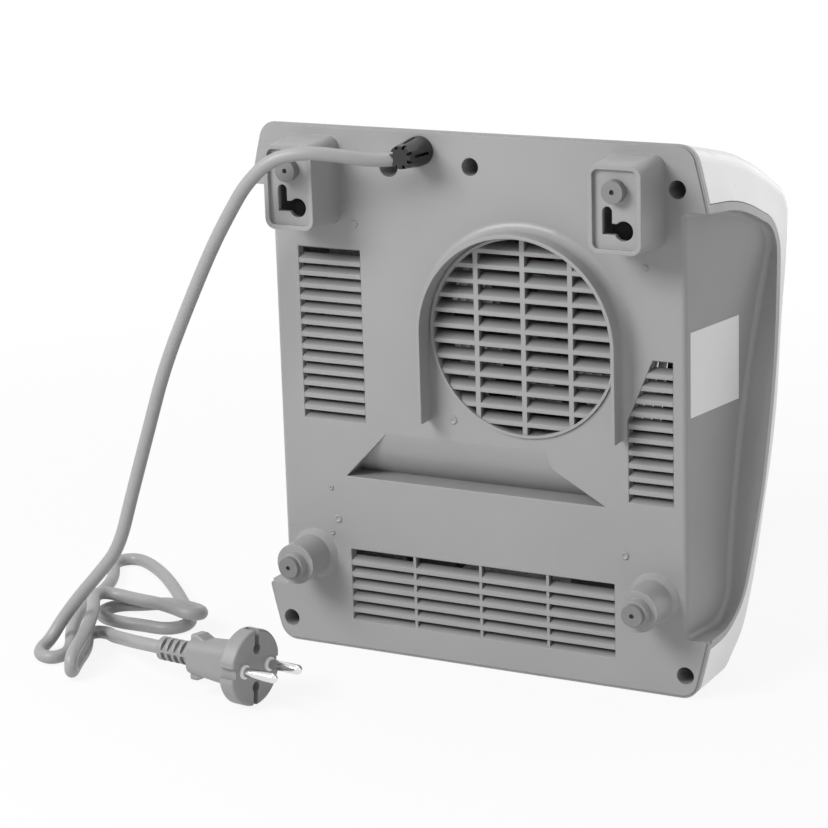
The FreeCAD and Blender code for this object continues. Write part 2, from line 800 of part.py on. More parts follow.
# Rear housing: stepped plate, recess skins, then all that stands on the plate
room = recess_room()
rooms = [room, mirrored(room)]
skin = recess_skin(outer, room)
lip = slice_depth(outer, RIM_STEP, LIP_DEPTH)
lip = lip.cut(slice_depth(envelope(LIP_W, -OVERRUN), PANEL_T, FAR))
panel = slice_depth(envelope(RIM_W, 0), 0, PANEL_T)
housing = [lip.fuse(panel).cut(rooms[0]).cut(rooms[1]), skin, mirrored(skin)]
holes = [rod(FAN_X, FAN_Z, INLET_R, -OVERRUN, OVERRUN)]
for outline in (LEFT_VENT, RIGHT_VENT, LOWER_VENT):
    holes.append(prism(flat(outline, 0), -OVERRUN, OVERRUN))

# Keyhole bosses: hollow, with a sunk floor, keyhole slots and buffer holes
for x in (BOSS_X, -BOSS_X):
    boss = tapered(x, BOSS_Z, BOSS_W, BOSS_H, BOSS_CORNER_R, BOSS_DRAFT, PANEL_T / 2, -BOSS_REACH)
    housing.append(boss)
    wide = BOSS_W - BOSS_WALL * 2
    tall = BOSS_H - BOSS_WALL * 2
    small_r = BOSS_CORNER_R - BOSS_WALL
    floor = BOSS_REACH - BOSS_SINK
    holes.append(tapered(x, BOSS_Z, wide, tall, small_r, BOSS_DRAFT, PANEL_T + TOUCH, BOSS_FLOOR_T - floor))
    holes.append(tapered(x, BOSS_Z, wide, tall, small_r, 0, -floor, -BOSS_REACH - OVERRUN))
    holes.append(rod(x + KEYHOLE_X, BOSS_Z - KEYHOLE_DROP, KEYHOLE_R, -BOSS_REACH, -BOSS_SINK))
    slot = (x + SLOT_X - SLOT_W / 2, x + SLOT_X + SLOT_W / 2)
    holes.append(block(slot[0], slot[1], -BOSS_REACH, -BOSS_SINK, SLOT_LOW, SLOT_HIGH))
    holes.append(rod(x + SLOT_X, SLOT_HIGH, SLOT_W / 2, -BOSS_REACH, -BOSS_SINK))
    holes.append(block(x + KEYHOLE_X, slot[1], -BOSS_REACH, -BOSS_SINK, SLOT_LOW, SLOT_LOW + LINK_H))
    holes.append(rod(x, BUMPER_Z, STEM_R + HOLE_GAP, -BOSS_REACH, -BOSS_SINK))

# Standoff posts
post_outline = (
    (0, PANEL_T / 2),
    (POST_BASE_R, PANEL_T / 2),
    (POST_BASE_R, 0),
    (POST_R + SEAM, -POST_FLARE),
    (POST_R, -POST_REACH),
    (SPIGOT_R, -POST_REACH),
    (SPIGOT_R, -SPIGOT_REACH),
    (0, -SPIGOT_REACH),
)
for x in (POST_X, -POST_X):
    housing.append(turned(x, POST_Z, post_outline, FULL_TURN))
    holes.append(rod(x, POST_Z, POST_BORE_R, POST_END_T - POST_REACH, OVERRUN))
    holes.append(rod(x, POST_Z, SPIGOT_R - POST_END_T, POST_END_T - SPIGOT_REACH, 0))
    holes.append(rod(x, POST_Z, STEM_R + HOLE_GAP, -STANDOFF, 0))

# Hood round the upper half of the inlet, with a cove at its foot and straight legs
hood_edge = HOOD_R + HOOD_T
cove = HOOD_COVE * (1 - math.sqrt(1 / 2))
hood_points = [(HOOD_R, PANEL_T / 2), (HOOD_R, -HOOD_REACH), (hood_edge, -HOOD_REACH)]
hood_points += [(hood_edge, -HOOD_COVE), (hood_edge + cove, -cove)]
hood_points += [(hood_edge + HOOD_COVE, 0), (hood_edge + HOOD_COVE, PANEL_T / 2)]
hp = [pt(FAN_X + r, d, FAN_Z) for r, d in hood_points]
hood_edges = [Part.makeLine(a, b) for a, b in zip(hp[:3], hp[1:4])]
hood_edges.append(Part.Arc(hp[3], hp[4], hp[5]).toShape())
hood_edges += [Part.makeLine(hp[5], hp[6]), Part.makeLine(hp[6], hp[0])]
hood_face = Part.Face(Part.Wire(hood_edges))
leg = hood_face.extrude(UP * -HOOD_LEG)
housing.append(hood_face.revolve(pt(FAN_X, 0, FAN_Z), FORWARD, HALF_TURN))
housing.append(leg)
housing.append(leg.mirror(pt(FAN_X, 0, 0), ACROSS))

# Scoop: curves in from its top edge to a flat ledge
scoop_points = [pt(x, 0, z) for x, z in SCOOP_OUTLINE]
scoop_edges = corner_path(scoop_points, SCOOP_CORNER_SHARES)
scoop_edges.append(Part.makeLine(scoop_points[-1], scoop_points[0]))
scoop_face = Part.Face(Part.Wire(scoop_edges))
foot = pt(-WIDTH, SCOOP_DEPTH, SCOOP_LOW)
middle = pt(-WIDTH, SCOOP_DEPTH * SCOOP_MIDDLE_SHARE, (SCOOP_LOW + SCOOP_HIGH) / 2)
brow = pt(-WIDTH, -SCOOP_START, SCOOP_HIGH)
outside = [brow, pt(-WIDTH, -OVERRUN, SCOOP_HIGH), pt(-WIDTH, -OVERRUN, SCOOP_LOW), foot]
side_edges = [Part.Arc(foot, middle, brow).toShape()]
side_edges += [Part.makeLine(a, b) for a, b in zip(outside, outside[1:])]
scoop_side = Part.Face(Part.Wire(side_edges))
scoop_skin = prism(grown(scoop_face, SCOOP_T), PANEL_T / 2, FAR)
housing.append(full_width(scoop_side.makeOffset2D(SCOOP_T)).common(scoop_skin))
holes.append(full_width(scoop_side).common(prism(scoop_face, -OVERRUN, OVERRUN)))

# Screw wells, clamp well, and the small posts that carry inner pieces
wells = []
for x, z in WELLS:
    wells.append(rod(x, z, WELL_R, PANEL_T / 2, WELL_DEPTH))
    holes.append(rod(x, z, WELL_BORE_R, -OVERRUN, WELL_DEPTH - WELL_FLOOR_T))
    holes.append(rod(x, z, SCREW_HOLE_R, 0, FAR))
wells.append(rod(CLAMP_WELL_X, CLAMP_WELL_Z, CLAMP_WELL_R, PANEL_T / 2, CLAMP_DEPTH))
holes.append(rod(CLAMP_WELL_X, CLAMP_WELL_Z, CLAMP_WELL_BORE_R, -OVERRUN, CLAMP_DEPTH - WELL_FLOOR_T))
holes.append(rod(CLAMP_WELL_X, CLAMP_WELL_Z, SCREW_HOLE_R, 0, FAR))
wells.append(rod(CLAMP_POST_X, CLAMP_WELL_Z, CLAMP_POST_R, PANEL_T / 2, CLAMP_DEPTH))
holes.append(rod(CLAMP_POST_X, CLAMP_WELL_Z, SCREW_HOLE_R, CLAMP_DEPTH - SCREW_BITE, FAR))
block_feet = [(BLOCK_X + side * BLOCK_W / BLOCK_POLES, BLOCK_LOW + BLOCK_H / 2) for side in (-1, 1)]
for x, z in block_feet:
    wells.append(rod(x, z, BLOCK_FOOT_R, PANEL_T / 2, BLOCK_DEPTH))
lug_places = [on_circle(LUG_RADIUS, a) for a in LUG_ANGLES]
for x, z in lug_places:
    wells.append(rod(x, z, LUG_R, PANEL_T / 2, LUG_DEPTH))
    holes.append(rod(x, z, SCREW_HOLE_R, PANEL_T, LUG_DEPTH + OVERRUN))
holes.append(rod(GLAND_X, GLAND_Z, GLAND_NECK_R + HOLE_GAP, -OVERRUN, OVERRUN))
cavity = envelope(COVER_T + CLEAR, -OVERRUN)
housing += [w.common(cavity) for w in wells]
housing = join(housing)
parts["rear_housing"] = housing.cut(holes)

# Front cover: shell with recess openings, outlet window, control holes, pillars and element posts
shell = slice_depth(outer.cut(inner), LIP_DEPTH + SEAM, FAR)
opening = side_face(RECESS).makeOffset2D(RECESS_RIM + CLEAR)
opening = full_width(opening).common(block(RECESS_FOOT - RECESS_WALL * 2, WIDTH, -OVERRUN, FAR, 0, HEIGHT))
shell = shell.cut([opening, mirrored(opening)])
core = envelope(COVER_T / 2, -OVERRUN)
pillars = [rod(x, z, PILLAR_R, WELL_DEPTH, FAR).common(core) for x, z in WELLS]
ear_x = ELEMENT_W / 2 + EAR_W / 2
ear_places = [(side * ear_x, MID_Z + lift) for side in (-1, 1) for lift in (-EAR_UP, EAR_UP)]
for x, z in ear_places:
    pillars.append(leaning(rod(x, z, EAR_POST_R, ELEMENT_DEPTH, FAR)).common(core))
window = block(-OUTLET_W / 2, OUTLET_W / 2, PANEL_BACK - COVER_T, FAR, OUTLET_LOW, OUTLET_HIGH)
cover_holes = [window]
for x in (CONTROL_X, -CONTROL_X):
    cover_holes.append(rod(x, CONTROL_Z, COLLAR_R + HOLE_GAP, PANEL_BACK - TOUCH, FRONT_DEPTH + TOUCH))
cover_holes.append(rod(0, CONTROL_Z, LAMP_R + HOLE_GAP, PANEL_BACK - TOUCH, FRONT_DEPTH + TOUCH))
for x, z in WELLS:
    cover_holes.append(rod(x, z, SCREW_HOLE_R, WELL_DEPTH - TOUCH, WELL_DEPTH + SCREW_BITE))
for x, z in ear_places:
    cover_holes.append(leaning(rod(x, z, SCREW_HOLE_R, 0, ELEMENT_DEPTH + EAR_T)))
parts["front_cover"] = join([shell] + pillars).cut(cover_holes)

# Outlet grille: follows the front, with rows of slots between upright ribs
half = OUTLET_W / 2 - CLEAR
grille_room = block(-half, half, PANEL_BACK - COVER_T, FAR, OUTLET_LOW + CLEAR, OUTLET_HIGH - CLEAR)
grille = outer.cut(inner).common(grille_room)
row_pitch = (OUTLET_HIGH - OUTLET_LOW - OUTLET_BORDER * 2 + OUTLET_RIB) / OUTLET_ROWS
column_pitch = (OUTLET_W - OUTLET_BORDER * 2 + OUTLET_RIB) / OUTLET_COLUMNS
slots = []
for i in range(OUTLET_COLUMNS):
    x = OUTLET_BORDER - OUTLET_W / 2 + column_pitch * i
    for j in range(OUTLET_ROWS):
        z = OUTLET_LOW + OUTLET_BORDER + row_pitch * j
        slots.append(block(x, x + column_pitch - OUTLET_RIB, 0, FAR, z, z + row_pitch - OUTLET_RIB))
parts["outlet_grille"] = grille.cut(slots)

# Rear grilles
ring_r = INLET_R - SEAM
grille = [ring(FAN_X, FAN_Z, ring_r, ring_r - GRILLE_RING_T, -GRILLE_PROUD, GRILLE_DEPTH)]
grille_room = rod(FAN_X, FAN_Z, ring_r - GRILLE_RING_T / 2, 0, GRILLE_DEPTH)
pitch = INLET_R * 2 / GRILLE_ROWS
fan_blades = blades(FAN_Z - INLET_R, GRILLE_ROWS, pitch, GRILLE_FACE, GRILLE_RISE, GRILLE_BLADE, WIDTH)
for k in (-1, 0, 1):
    x = FAN_X + GRILLE_BAR_PITCH * k
    bar = block(x - GRILLE_BAR_W / 2, x + GRILLE_BAR_W / 2, 0, GRILLE_DEPTH, 0, HEIGHT)
    fan_blades.append(bar)
grille += [s.common(grille_room) for s in fan_blades]
parts["fan_inlet_grille"] = join(grille)
parts["left_vent_louvres"] = join(louvre_bank(LEFT_VENT, LEFT_ROWS))
parts["right_vent_louvres"] = join(louvre_bank(RIGHT_VENT, RIGHT_ROWS))
lower = louvre_bank(LOWER_VENT, LOWER_ROWS)
lower_room = prism(grown(flat(LOWER_VENT, 0), -LOUVRE_GAP), 0, PANEL_T + LOUVRE_FLANGE_T)
lower_pitch = (LOWER_VENT[1][0] - LOWER_VENT[0][0] + MULLION_W) / LOWER_COLUMNS
for k in range(1, LOWER_COLUMNS):
    x = LOWER_VENT[0][0] + lower_pitch * k
    lower.append(block(x - MULLION_W, x, MULLION_SINK, FAR, 0, HEIGHT).common(lower_room))
parts["lower_vent_louvres"] = join(lower)

# Label and buffers
label = [(-wall_x(d) - lift, d) for d, lift in ((LABEL_START, 0), (LABEL_END, 0))]
label += [(-wall_x(d) - lift, d) for d, lift in ((LABEL_END, LABEL_T), (LABEL_START, LABEL_T))]
parts["rating_label"] = upright(label, LABEL_LOW, LABEL_LOW + LABEL_H)
bumpers = []
boss_floor = BOSS_SINK - BOSS_REACH
places = [(x, BUMPER_Z, boss_floor, BOSS_FLOOR_T) for x in (BOSS_X, -BOSS_X)]
places += [(x, POST_Z, -SPIGOT_REACH, POST_END_T) for x in (POST_X, -POST_X)]
for x, z, seat, wall in places:
    barb = seat + wall
    stem = [rod(x, z, STEM_R, seat, barb), rod(x, z, BARB_R, barb, barb + BARB_T)]
    bumper = rod(x, z, BUMPER_R, -STANDOFF, seat).fuse(stem)
    bumpers.append(bumper.cut(rod(x, z, BUMPER_HOLE_R, -STANDOFF, BUMPER_DIMPLE - STANDOFF)))
parts["wall_bumpers"] = Part.makeCompound(bumpers)

# Cover screws at the floors of the wells
head = WELL_DEPTH - WELL_FLOOR_T - SCREW_HEAD_T
length = WELL_FLOOR_T + SCREW_BITE
parts["cover_screws"] = Part.makeCompound([screw(x, z, head, length, SCREW_HEAD_R) for x, z in WELLS])


# Cord gland, seated in the plate: long slots, a toothed end, and a mouth in its side for the cord
def gland_slit(start, end, width, angle):
    slit = block(GLAND_CORE_R, GLAND_R, start, end, -width / 2, width / 2)
    slit.translate(Vector(GLAND_X, 0, GLAND_Z))
    return slit.rotated(pt(GLAND_X, 0, GLAND_Z), FORWARD, angle)


route = [Vector(*p) for p in ROUTE]
gland_outline = (
    (0, PANEL_T + GLAND_FLANGE_T),
    (GLAND_FLANGE_R, PANEL_T + GLAND_FLANGE_T),
    (GLAND_FLANGE_R, PANEL_T),
    (GLAND_NECK_R, PANEL_T),
    (GLAND_NECK_R, 0),
    (GLAND_R, 0),
    (GLAND_R, -GLAND_SLOT_START),
    (GLAND_TIP_R, -GLAND_REACH),
    (0, -GLAND_REACH),
)
gland = turned(GLAND_X, GLAND_Z, gland_outline, FULL_TURN)
mouth = pt(GLAND_X + GLAND_MOUTH_ASIDE, -GLAND_MOUTH_REACH, GLAND_Z - GLAND_MOUTH_DROP)
gland_cuts = [Part.makeCylinder(GLAND_BORE_R, OVERRUN, mouth, route[1] - route[0])]
gland_cuts.append(block(-WIDTH, WIDTH, PANEL_T, FAR, GLAND_Z + GLAND_FLANGE_UP, HEIGHT))
for k in range(GLAND_SLOTS):
    angle = FULL_TURN / GLAND_SLOTS * k
    gland_cuts.append(gland_slit(-GLAND_SLOT_END, -GLAND_SLOT_START, GLAND_SLOT_W, angle))
for k in range(GLAND_TEETH):
    angle = FULL_TURN / GLAND_TEETH * (k + 1 / 2)
    gland_cuts.append(gland_slit(-GLAND_REACH, GLAND_TOOTH - GLAND_REACH, GLAND_TOOTH_GAP, angle))
parts["cord_gland"] = gland.cut(gland_cuts)

# Lead inside, its clamp, and the terminal block
lead_start = PANEL_T + GLAND_FLANGE_T
block_top = BLOCK_LOW + BLOCK_H
lead = [pt(GLAND_X, lead_start, GLAND_Z), pt(GLAND_X, LEAD_DEPTH, GLAND_Z)]
lead.append(pt(GLAND_X, LEAD_DEPTH, block_top))
parts["inner_lead"] = tube(lead, CORD_R)
clamp_end = CLAMP_DEPTH + CLAMP_T
clamp_x = (CLAMP_POST_X - CLAMP_POST_R, CLAMP_WELL_X + CLAMP_WELL_R)
clamp_z = (CLAMP_WELL_Z - CLAMP_H / 2, CLAMP_WELL_Z + CLAMP_H / 2)
clamp = block(*clamp_x, CLAMP_DEPTH, clamp_end, *clamp_z)
clamp_ends = (CLAMP_POST_X, CLAMP_WELL_X)
parts["cord_clamp"] = clamp.cut([rod(x, CLAMP_WELL_Z, SCREW_HOLE_R, 0, FAR) for x in clamp_ends])
well_head = CLAMP_DEPTH - WELL_FLOOR_T - SCREW_HEAD_T
clamp_screws = [screw(CLAMP_WELL_X, CLAMP_WELL_Z, well_head, SCREW_BITE, SCREW_HEAD_R)]
clamp_head = clamp_end + SCREW_HEAD_T
clamp_screws.append(front_screw(CLAMP_POST_X, CLAMP_WELL_Z, clamp_head, SCREW_BITE, SCREW_HEAD_R))
parts["clamp_screws"] = Part.makeCompound(clamp_screws)
block_end = BLOCK_DEPTH + BLOCK_T
terminal = block(BLOCK_X - BLOCK_W / 2, BLOCK_X + BLOCK_W / 2, BLOCK_DEPTH, block_end, BLOCK_LOW, block_top)
pole_pitch = BLOCK_W / BLOCK_POLES
poles = [BLOCK_X + pole_pitch * (k - (BLOCK_POLES - 1) / 2) for k in range(BLOCK_POLES)]
pole_z = BLOCK_LOW + BLOCK_H / 2
deep = SCREW_BITE - SCREW_HEAD_T
terminal = terminal.cut([rod(x, pole_z, SCREW_HEAD_R + CLEAR, block_end - deep, block_end) for x in poles])
parts["terminal_block"] = terminal
pole_head = block_end - SCREW_HEAD_T
pole_length = deep - SCREW_HEAD_T
pole_screws = [front_screw(x, pole_z, pole_head, pole_length, SCREW_HEAD_R) for x in poles]
parts["terminal_screws"] = Part.makeCompound(pole_screws)

# Shroud round the fan, with lugs on the plate and pads for the motor bracket
shroud = [ring(FAN_X, FAN_Z, SHROUD_R + SHROUD_T, SHROUD_R, PANEL_T, SHROUD_END)]
shroud_room = rod(FAN_X, FAN_Z, SHROUD_R + SHROUD_T / 2, -OVERRUN, FAR)
pad_places = [(FAN_X + PAD_RADIUS, FAN_Z), (FAN_X - PAD_RADIUS, FAN_Z)]
lug_end = LUG_DEPTH + LUG_T
lugs = []
for angle in LUG_ANGLES:
    lug = rod(FAN_X + LUG_RADIUS, FAN_Z, LUG_R, LUG_DEPTH, lug_end)
    web = block(FAN_X + SHROUD_R, FAN_X + LUG_RADIUS, LUG_DEPTH, lug_end, FAN_Z - LUG_R, FAN_Z + LUG_R)
    lug = lug.fuse(web).cut(rod(FAN_X + LUG_RADIUS, FAN_Z, SCREW_HOLE_R, 0, FAR))
    lugs.append(lug.rotated(pt(FAN_X, 0, FAN_Z), FORWARD, angle))
for x, z in pad_places:
    pad = rod(x, z, PAD_R, SHROUD_END - PAD_T, SHROUD_END)
    lugs.append(pad.cut(rod(x, z, SCREW_HOLE_R, 0, FAR)))
parts["fan_shroud"] = join(shroud + [s.cut(shroud_room) for s in lugs])
lug_head = lug_end + SCREW_HEAD_T
lug_length = lug_head - PANEL_T
shroud_screws = [front_screw(x, z, lug_head, lug_length, SCREW_HEAD_R) for x, z in lug_places]
parts["shroud_screws"] = Part.makeCompound(shroud_screws)

# Motor: bracket, stator, coil, strap, bearings and ties
ties = (FAN_X - TIE_X, FAN_X + TIE_X)
reach = PAD_RADIUS + PAD_R
bracket_z = (FAN_Z - BRACKET_H / 2, FAN_Z + BRACKET_H / 2)
bracket = [block(FAN_X - reach, FAN_X + reach, SHROUD_END, BRACKET_END, *bracket_z)]
bracket += [rod(x, FAN_Z, SPACER_R, BRACKET_END, STATOR_START) for x in ties]
bracket_holes = [rod(FAN_X, FAN_Z, BUSH_R, 0, FAR)]
bracket_holes += [rod(x, FAN_Z, SCREW_HOLE_R, 0, FAR) for x in ties]
bracket_holes += [rod(x, z, SCREW_HOLE_R, 0, FAR) for x, z in pad_places]
parts["motor_bracket"] = join(bracket).cut(bracket_holes)
pad_head = BRACKET_END + SCREW_HEAD_T
bracket_screws = [front_screw(x, z, pad_head, SCREW_BITE, SCREW_HEAD_R) for x, z in pad_places]
parts["bracket_screws"] = Part.makeCompound(bracket_screws)
stator_half = STATOR_W / 2
top = FAN_Z + STATOR_ABOVE
leg_low = top - STATOR_LEG
gap_x = stator_half - STATOR_LEG
stator = block(FAN_X - stator_half, FAN_X + stator_half, STATOR_START, STATOR_END, FAN_Z - STATOR_BELOW, top)
stator_holes = [rod(FAN_X, FAN_Z, STATOR_BORE_R, 0, FAR)]
stator_holes.append(block(FAN_X - gap_x, FAN_X + gap_x, 0, FAR, FAN_Z + WINDOW_LOW, leg_low))
stator_holes += [rod(x, FAN_Z, SCREW_HOLE_R, 0, FAR) for x in ties]
parts["motor_stator"] = stator.cut(stator_holes)
coil_x = gap_x - COIL_SIDE
coil_z = (leg_low - COIL_T, top + COIL_T)
coil = block(FAN_X - coil_x, FAN_X + coil_x, STATOR_START - COIL_T, STATOR_END + COIL_T, *coil_z)
long_edges = [e for e in coil.Edges if e.tangentAt(e.FirstParameter).cross(ACROSS).Length < TOUCH]
coil = coil.makeFillet(COIL_T / 2, long_edges)
core_room = (STATOR_START - SEAM, STATOR_END + SEAM, leg_low - SEAM, top + SEAM)
parts["motor_coil"] = coil.cut(block(FAN_X - WIDTH, FAN_X + WIDTH, *core_room))
strap_z = (FAN_Z - STRAP_H / 2, FAN_Z + STRAP_H / 2)
strap = [block(FAN_X - stator_half, FAN_X + stator_half, STRAP_START, STRAP_END, *strap_z)]
strap += [rod(x, FAN_Z, SPACER_R, STATOR_END, STRAP_START) for x in ties]
strap_holes = [rod(FAN_X, FAN_Z, BUSH_R, 0, FAR)] + [rod(x, FAN_Z, SCREW_HOLE_R, 0, FAR) for x in ties]
parts["front_bridge"] = join(strap).cut(strap_holes)
bore = SHAFT_R + SHAFT_CLEAR
bush_r = BUSH_R - TOUCH
parts["rear_bearing"] = ring(FAN_X, FAN_Z, bush_r, bore, SHROUD_END - BUSH_PROUD, BRACKET_END + BUSH_PROUD)
parts["front_bearing"] = ring(FAN_X, FAN_Z, bush_r, bore, STRAP_START - BUSH_PROUD, STRAP_END + BUSH_PROUD)
tie_length = STRAP_END + SCREW_HEAD_T - SHROUD_END
parts["motor_screws"] = Part.makeCompound([
    front_screw(x, FAN_Z, STRAP_END + SCREW_HEAD_T, tie_length, SCREW_HEAD_R) for x in ties
])

# What turns: shaft, rotor, impeller and nut
parts["motor_shaft"] = rod(FAN_X, FAN_Z, SHAFT_R, SHAFT_START, SHAFT_END)
parts["motor_rotor"] = ring(FAN_X, FAN_Z, ROTOR_R, SHAFT_R + TOUCH, STATOR_START, STATOR_END)
impeller_end = IMPELLER_START + IMPELLER_T
hub = rod(FAN_X, FAN_Z, HUB_R, IMPELLER_START, impeller_end)
hub = hub.cut(rod(FAN_X, FAN_Z, HUB_R - HUB_WALL, IMPELLER_START + HUB_WALL, impeller_end))
hub = hub.fuse(rod(FAN_X, FAN_Z, BUSH_R, IMPELLER_START, impeller_end))
hub = hub.cut(rod(FAN_X, FAN_Z, SHAFT_R + TOUCH, 0, FAR))
swept = ring(FAN_X, FAN_Z, IMPELLER_R, HUB_R - HUB_WALL / 2, IMPELLER_START, impeller_end)
vanes = []
mid = IMPELLER_START + IMPELLER_T / 2
chord = (FAN_Z - BLADE_CHORD / 2, FAN_Z + BLADE_CHORD / 2)
for k in range(BLADES):
    vane = block(FAN_X, FAN_X + IMPELLER_R * 2, mid - BLADE_T / 2, mid + BLADE_T / 2, *chord)
    vane.rotate(pt(FAN_X, mid, FAN_Z), ACROSS, BLADE_PITCH)
    vanes.append(vane.rotated(pt(FAN_X, 0, FAN_Z), FORWARD, FULL_TURN / BLADES * k).common(swept))
parts["impeller"] = join([hub] + vanes)
nut_face = flat(regular(FAN_X, FAN_Z, NUT_R, 6), 0)
nut = prism(nut_face, IMPELLER_START - NUT_T, IMPELLER_START).cut(rod(FAN_X, FAN_Z, SHAFT_R + TOUCH, 0, FAR))
parts["impeller_nut"] = nut

# Heating element, drawn upright and then leaned
wide = ELEMENT_W / 2
tall = ELEMENT_H / 2
back = ELEMENT_DEPTH - ELEMENT_T
frame = [block(-wide, wide, back, ELEMENT_DEPTH, MID_Z - tall, MID_Z + tall)]
hollow_z = (MID_Z - tall + ELEMENT_WALL, MID_Z + tall - ELEMENT_WALL)
hollow = block(ELEMENT_WALL - wide, wide - ELEMENT_WALL, 0, FAR, *hollow_z)
for x, z in ear_places:
    ear = (ELEMENT_DEPTH - EAR_T, ELEMENT_DEPTH, z - EAR_H / 2, z + EAR_H / 2)
    frame.append(block(x - EAR_W / 2, x + EAR_W / 2, *ear))
frame = join(frame).cut([hollow] + [rod(x, z, SCREW_HOLE_R, 0, FAR) for x, z in ear_places])
parts["element_frame"] = leaning(frame)
fin_wide = wide - ELEMENT_WALL
fin_tall = tall - ELEMENT_WALL
fin_pitch = (fin_wide * 2 - FIN_T) / (FIN_COUNT - 1)
bar_pitch = (fin_tall * 2 - BAR_H) / (BAR_COUNT - 1)
fin_depth = (back + FIN_INSET, ELEMENT_DEPTH - FIN_INSET)
fins = []
for k in range(FIN_COUNT):
    x = fin_pitch * k - fin_wide
    fins.append(block(x, x + FIN_T, *fin_depth, MID_Z - fin_tall, MID_Z + fin_tall))
for k in range(BAR_COUNT):
    z = MID_Z - fin_tall + bar_pitch * k
    fins.append(block(-fin_wide, fin_wide, *fin_depth, z, z + BAR_H))
parts["element_fins"] = leaning(join(fins))
centre = ELEMENT_DEPTH - ELEMENT_T / 2
tab_top = MID_Z - tall
tab_place = (centre - TAB_T / 2, centre + TAB_T / 2, tab_top - TAB_LENGTH, tab_top)
tabs = []
for k in range(TAB_COUNT):
    x = TAB_X + TAB_PITCH * (k - (TAB_COUNT - 1) / 2)
    tabs.append(block(x - TAB_W / 2, x + TAB_W / 2, *tab_place))
parts["element_terminals"] = leaning(Part.makeCompound(tabs))
ear_head = ELEMENT_DEPTH - EAR_T - SCREW_HEAD_T
ear_length = SCREW_HEAD_T + EAR_T * 2
parts["element_screws"] = leaning(Part.makeCompound([
    screw(x, z, ear_head, ear_length, SCREW_HEAD_R) for x, z in ear_places
]))
cutout = Part.makeCylinder(CUTOUT_R, CUTOUT_T, pt(CUTOUT_X, centre, MID_Z + tall), UP)
parts["thermal_cutout"] = leaning(cutout)
fuse_up = MID_Z + tall + FUSE_R + SEAM
parts["thermal_fuse"] = leaning(Part.makeCylinder(FUSE_R, FUSE_LENGTH, pt(FUSE_X, centre, fuse_up), ACROSS))

# Controls: body behind the panel, hexagon nut, spindle and knob
for name, x in (("thermostat", -CONTROL_X), ("selector", CONTROL_X)):
    half = CONTROL_W / 2
    body = block(x - half, x + half, PANEL_BACK - CONTROL_T, PANEL_BACK, CONTROL_Z - half, CONTROL_Z + half)
    body = body.fuse(rod(x, CONTROL_Z, COLLAR_R, PANEL_BACK, FRONT_DEPTH + COLLAR_OUT))
    spindle_in = PANEL_BACK - SPINDLE_IN
    spindle_out = FRONT_DEPTH + SPINDLE_OUT
    bore = SPINDLE_R + SHAFT_CLEAR
    parts[name + "_body"] = body.cut(rod(x, CONTROL_Z, bore, spindle_in, FAR))
    hexagon = prism(flat(regular(x, CONTROL_Z, HEX_R, 6), 0), FRONT_DEPTH, FRONT_DEPTH + HEX_T)
    parts[name + "_nut"] = hexagon.cut(rod(x, CONTROL_Z, COLLAR_R + TOUCH, 0, FAR))
    knob_start = FRONT_DEPTH + KNOB_GAP
    knob_end = FRONT_DEPTH + KNOB_T
    flat_up = CONTROL_Z + SPINDLE_R - SPINDLE_FLAT
    collar_end = FRONT_DEPTH + COLLAR_OUT
    flat_cut = block(x - KNOB_R, x + KNOB_R, collar_end, FAR, flat_up, HEIGHT)
    spindle = rod(x, CONTROL_Z, SPINDLE_R, spindle_in, spindle_out).cut(flat_cut)
    parts[name + "_shaft"] = spindle
    rim = [(0, knob_start), (KNOB_R, knob_start), (KNOB_R * KNOB_TOP_SHARE, knob_end), (0, knob_end)]
    knob = turned(x, CONTROL_Z, rim, FULL_TURN)
    low = CONTROL_Z - KNOB_R * KNOB_TOP_SHARE
    bar_place = (knob_end - KNOB_CAP, knob_end + POINTER_T, low, CONTROL_Z * 2 - low)
    bar = block(x - POINTER_W / 2, x + POINTER_W / 2, *bar_place)
    socket = rod(x, CONTROL_Z, SPINDLE_R, 0, spindle_out + TOUCH)
    socket = socket.cut(block(x - KNOB_R, x + KNOB_R, 0, FAR, flat_up, HEIGHT))
    knob = knob.fuse(bar.rotated(pt(x, 0, CONTROL_Z), Vector(0, 1, 0), POINTER_ANGLES[name]))
    knob = knob.cut([rod(x, CONTROL_Z, KNOB_WELL_R, 0, knob_start + KNOB_WELL_T), socket])
    parts[name + "_knob"] = knob
lens_outline = (
    (0, FRONT_DEPTH + LENS_PROUD),
    (LAMP_R, FRONT_DEPTH + LENS_PROUD),
    (LENS_RIM_R, FRONT_DEPTH),
    (LAMP_R, FRONT_DEPTH),
    (LAMP_R, PANEL_BACK),
    (0, PANEL_BACK),
)
parts["pilot_lens"] = turned(0, CONTROL_Z, lens_outline, FULL_TURN)
parts["pilot_lamp"] = rod(0, CONTROL_Z, LAMP_R, PANEL_BACK - LAMP_LENGTH, PANEL_BACK)

# Wires from the terminal block to the two controls
wires = []
wire_depth = PANEL_BACK - CONTROL_T / 2
control_top = CONTROL_Z + CONTROL_W / 2
for k in range(BLOCK_POLES - 1):
    x = poles[k + 1]
    end_x = CONTROL_X + WIRE_PITCH * k
    wires.append(tube([
        pt(x, BLOCK_DEPTH + BLOCK_T / 2, BLOCK_LOW),
        pt(x, BLOCK_DEPTH + BLOCK_T / 2, BLOCK_LOW - WIRE_FALL / 2),
        pt(end_x + WIRE_FALL, BLOCK_DEPTH + BLOCK_T, FAN_Z),
        pt(end_x, wire_depth, control_top + WIRE_FALL),
        pt(end_x, wire_depth, control_top),
    ], WIRE_R))
parts["inner_wires"] = Part.makeCompound(wires)

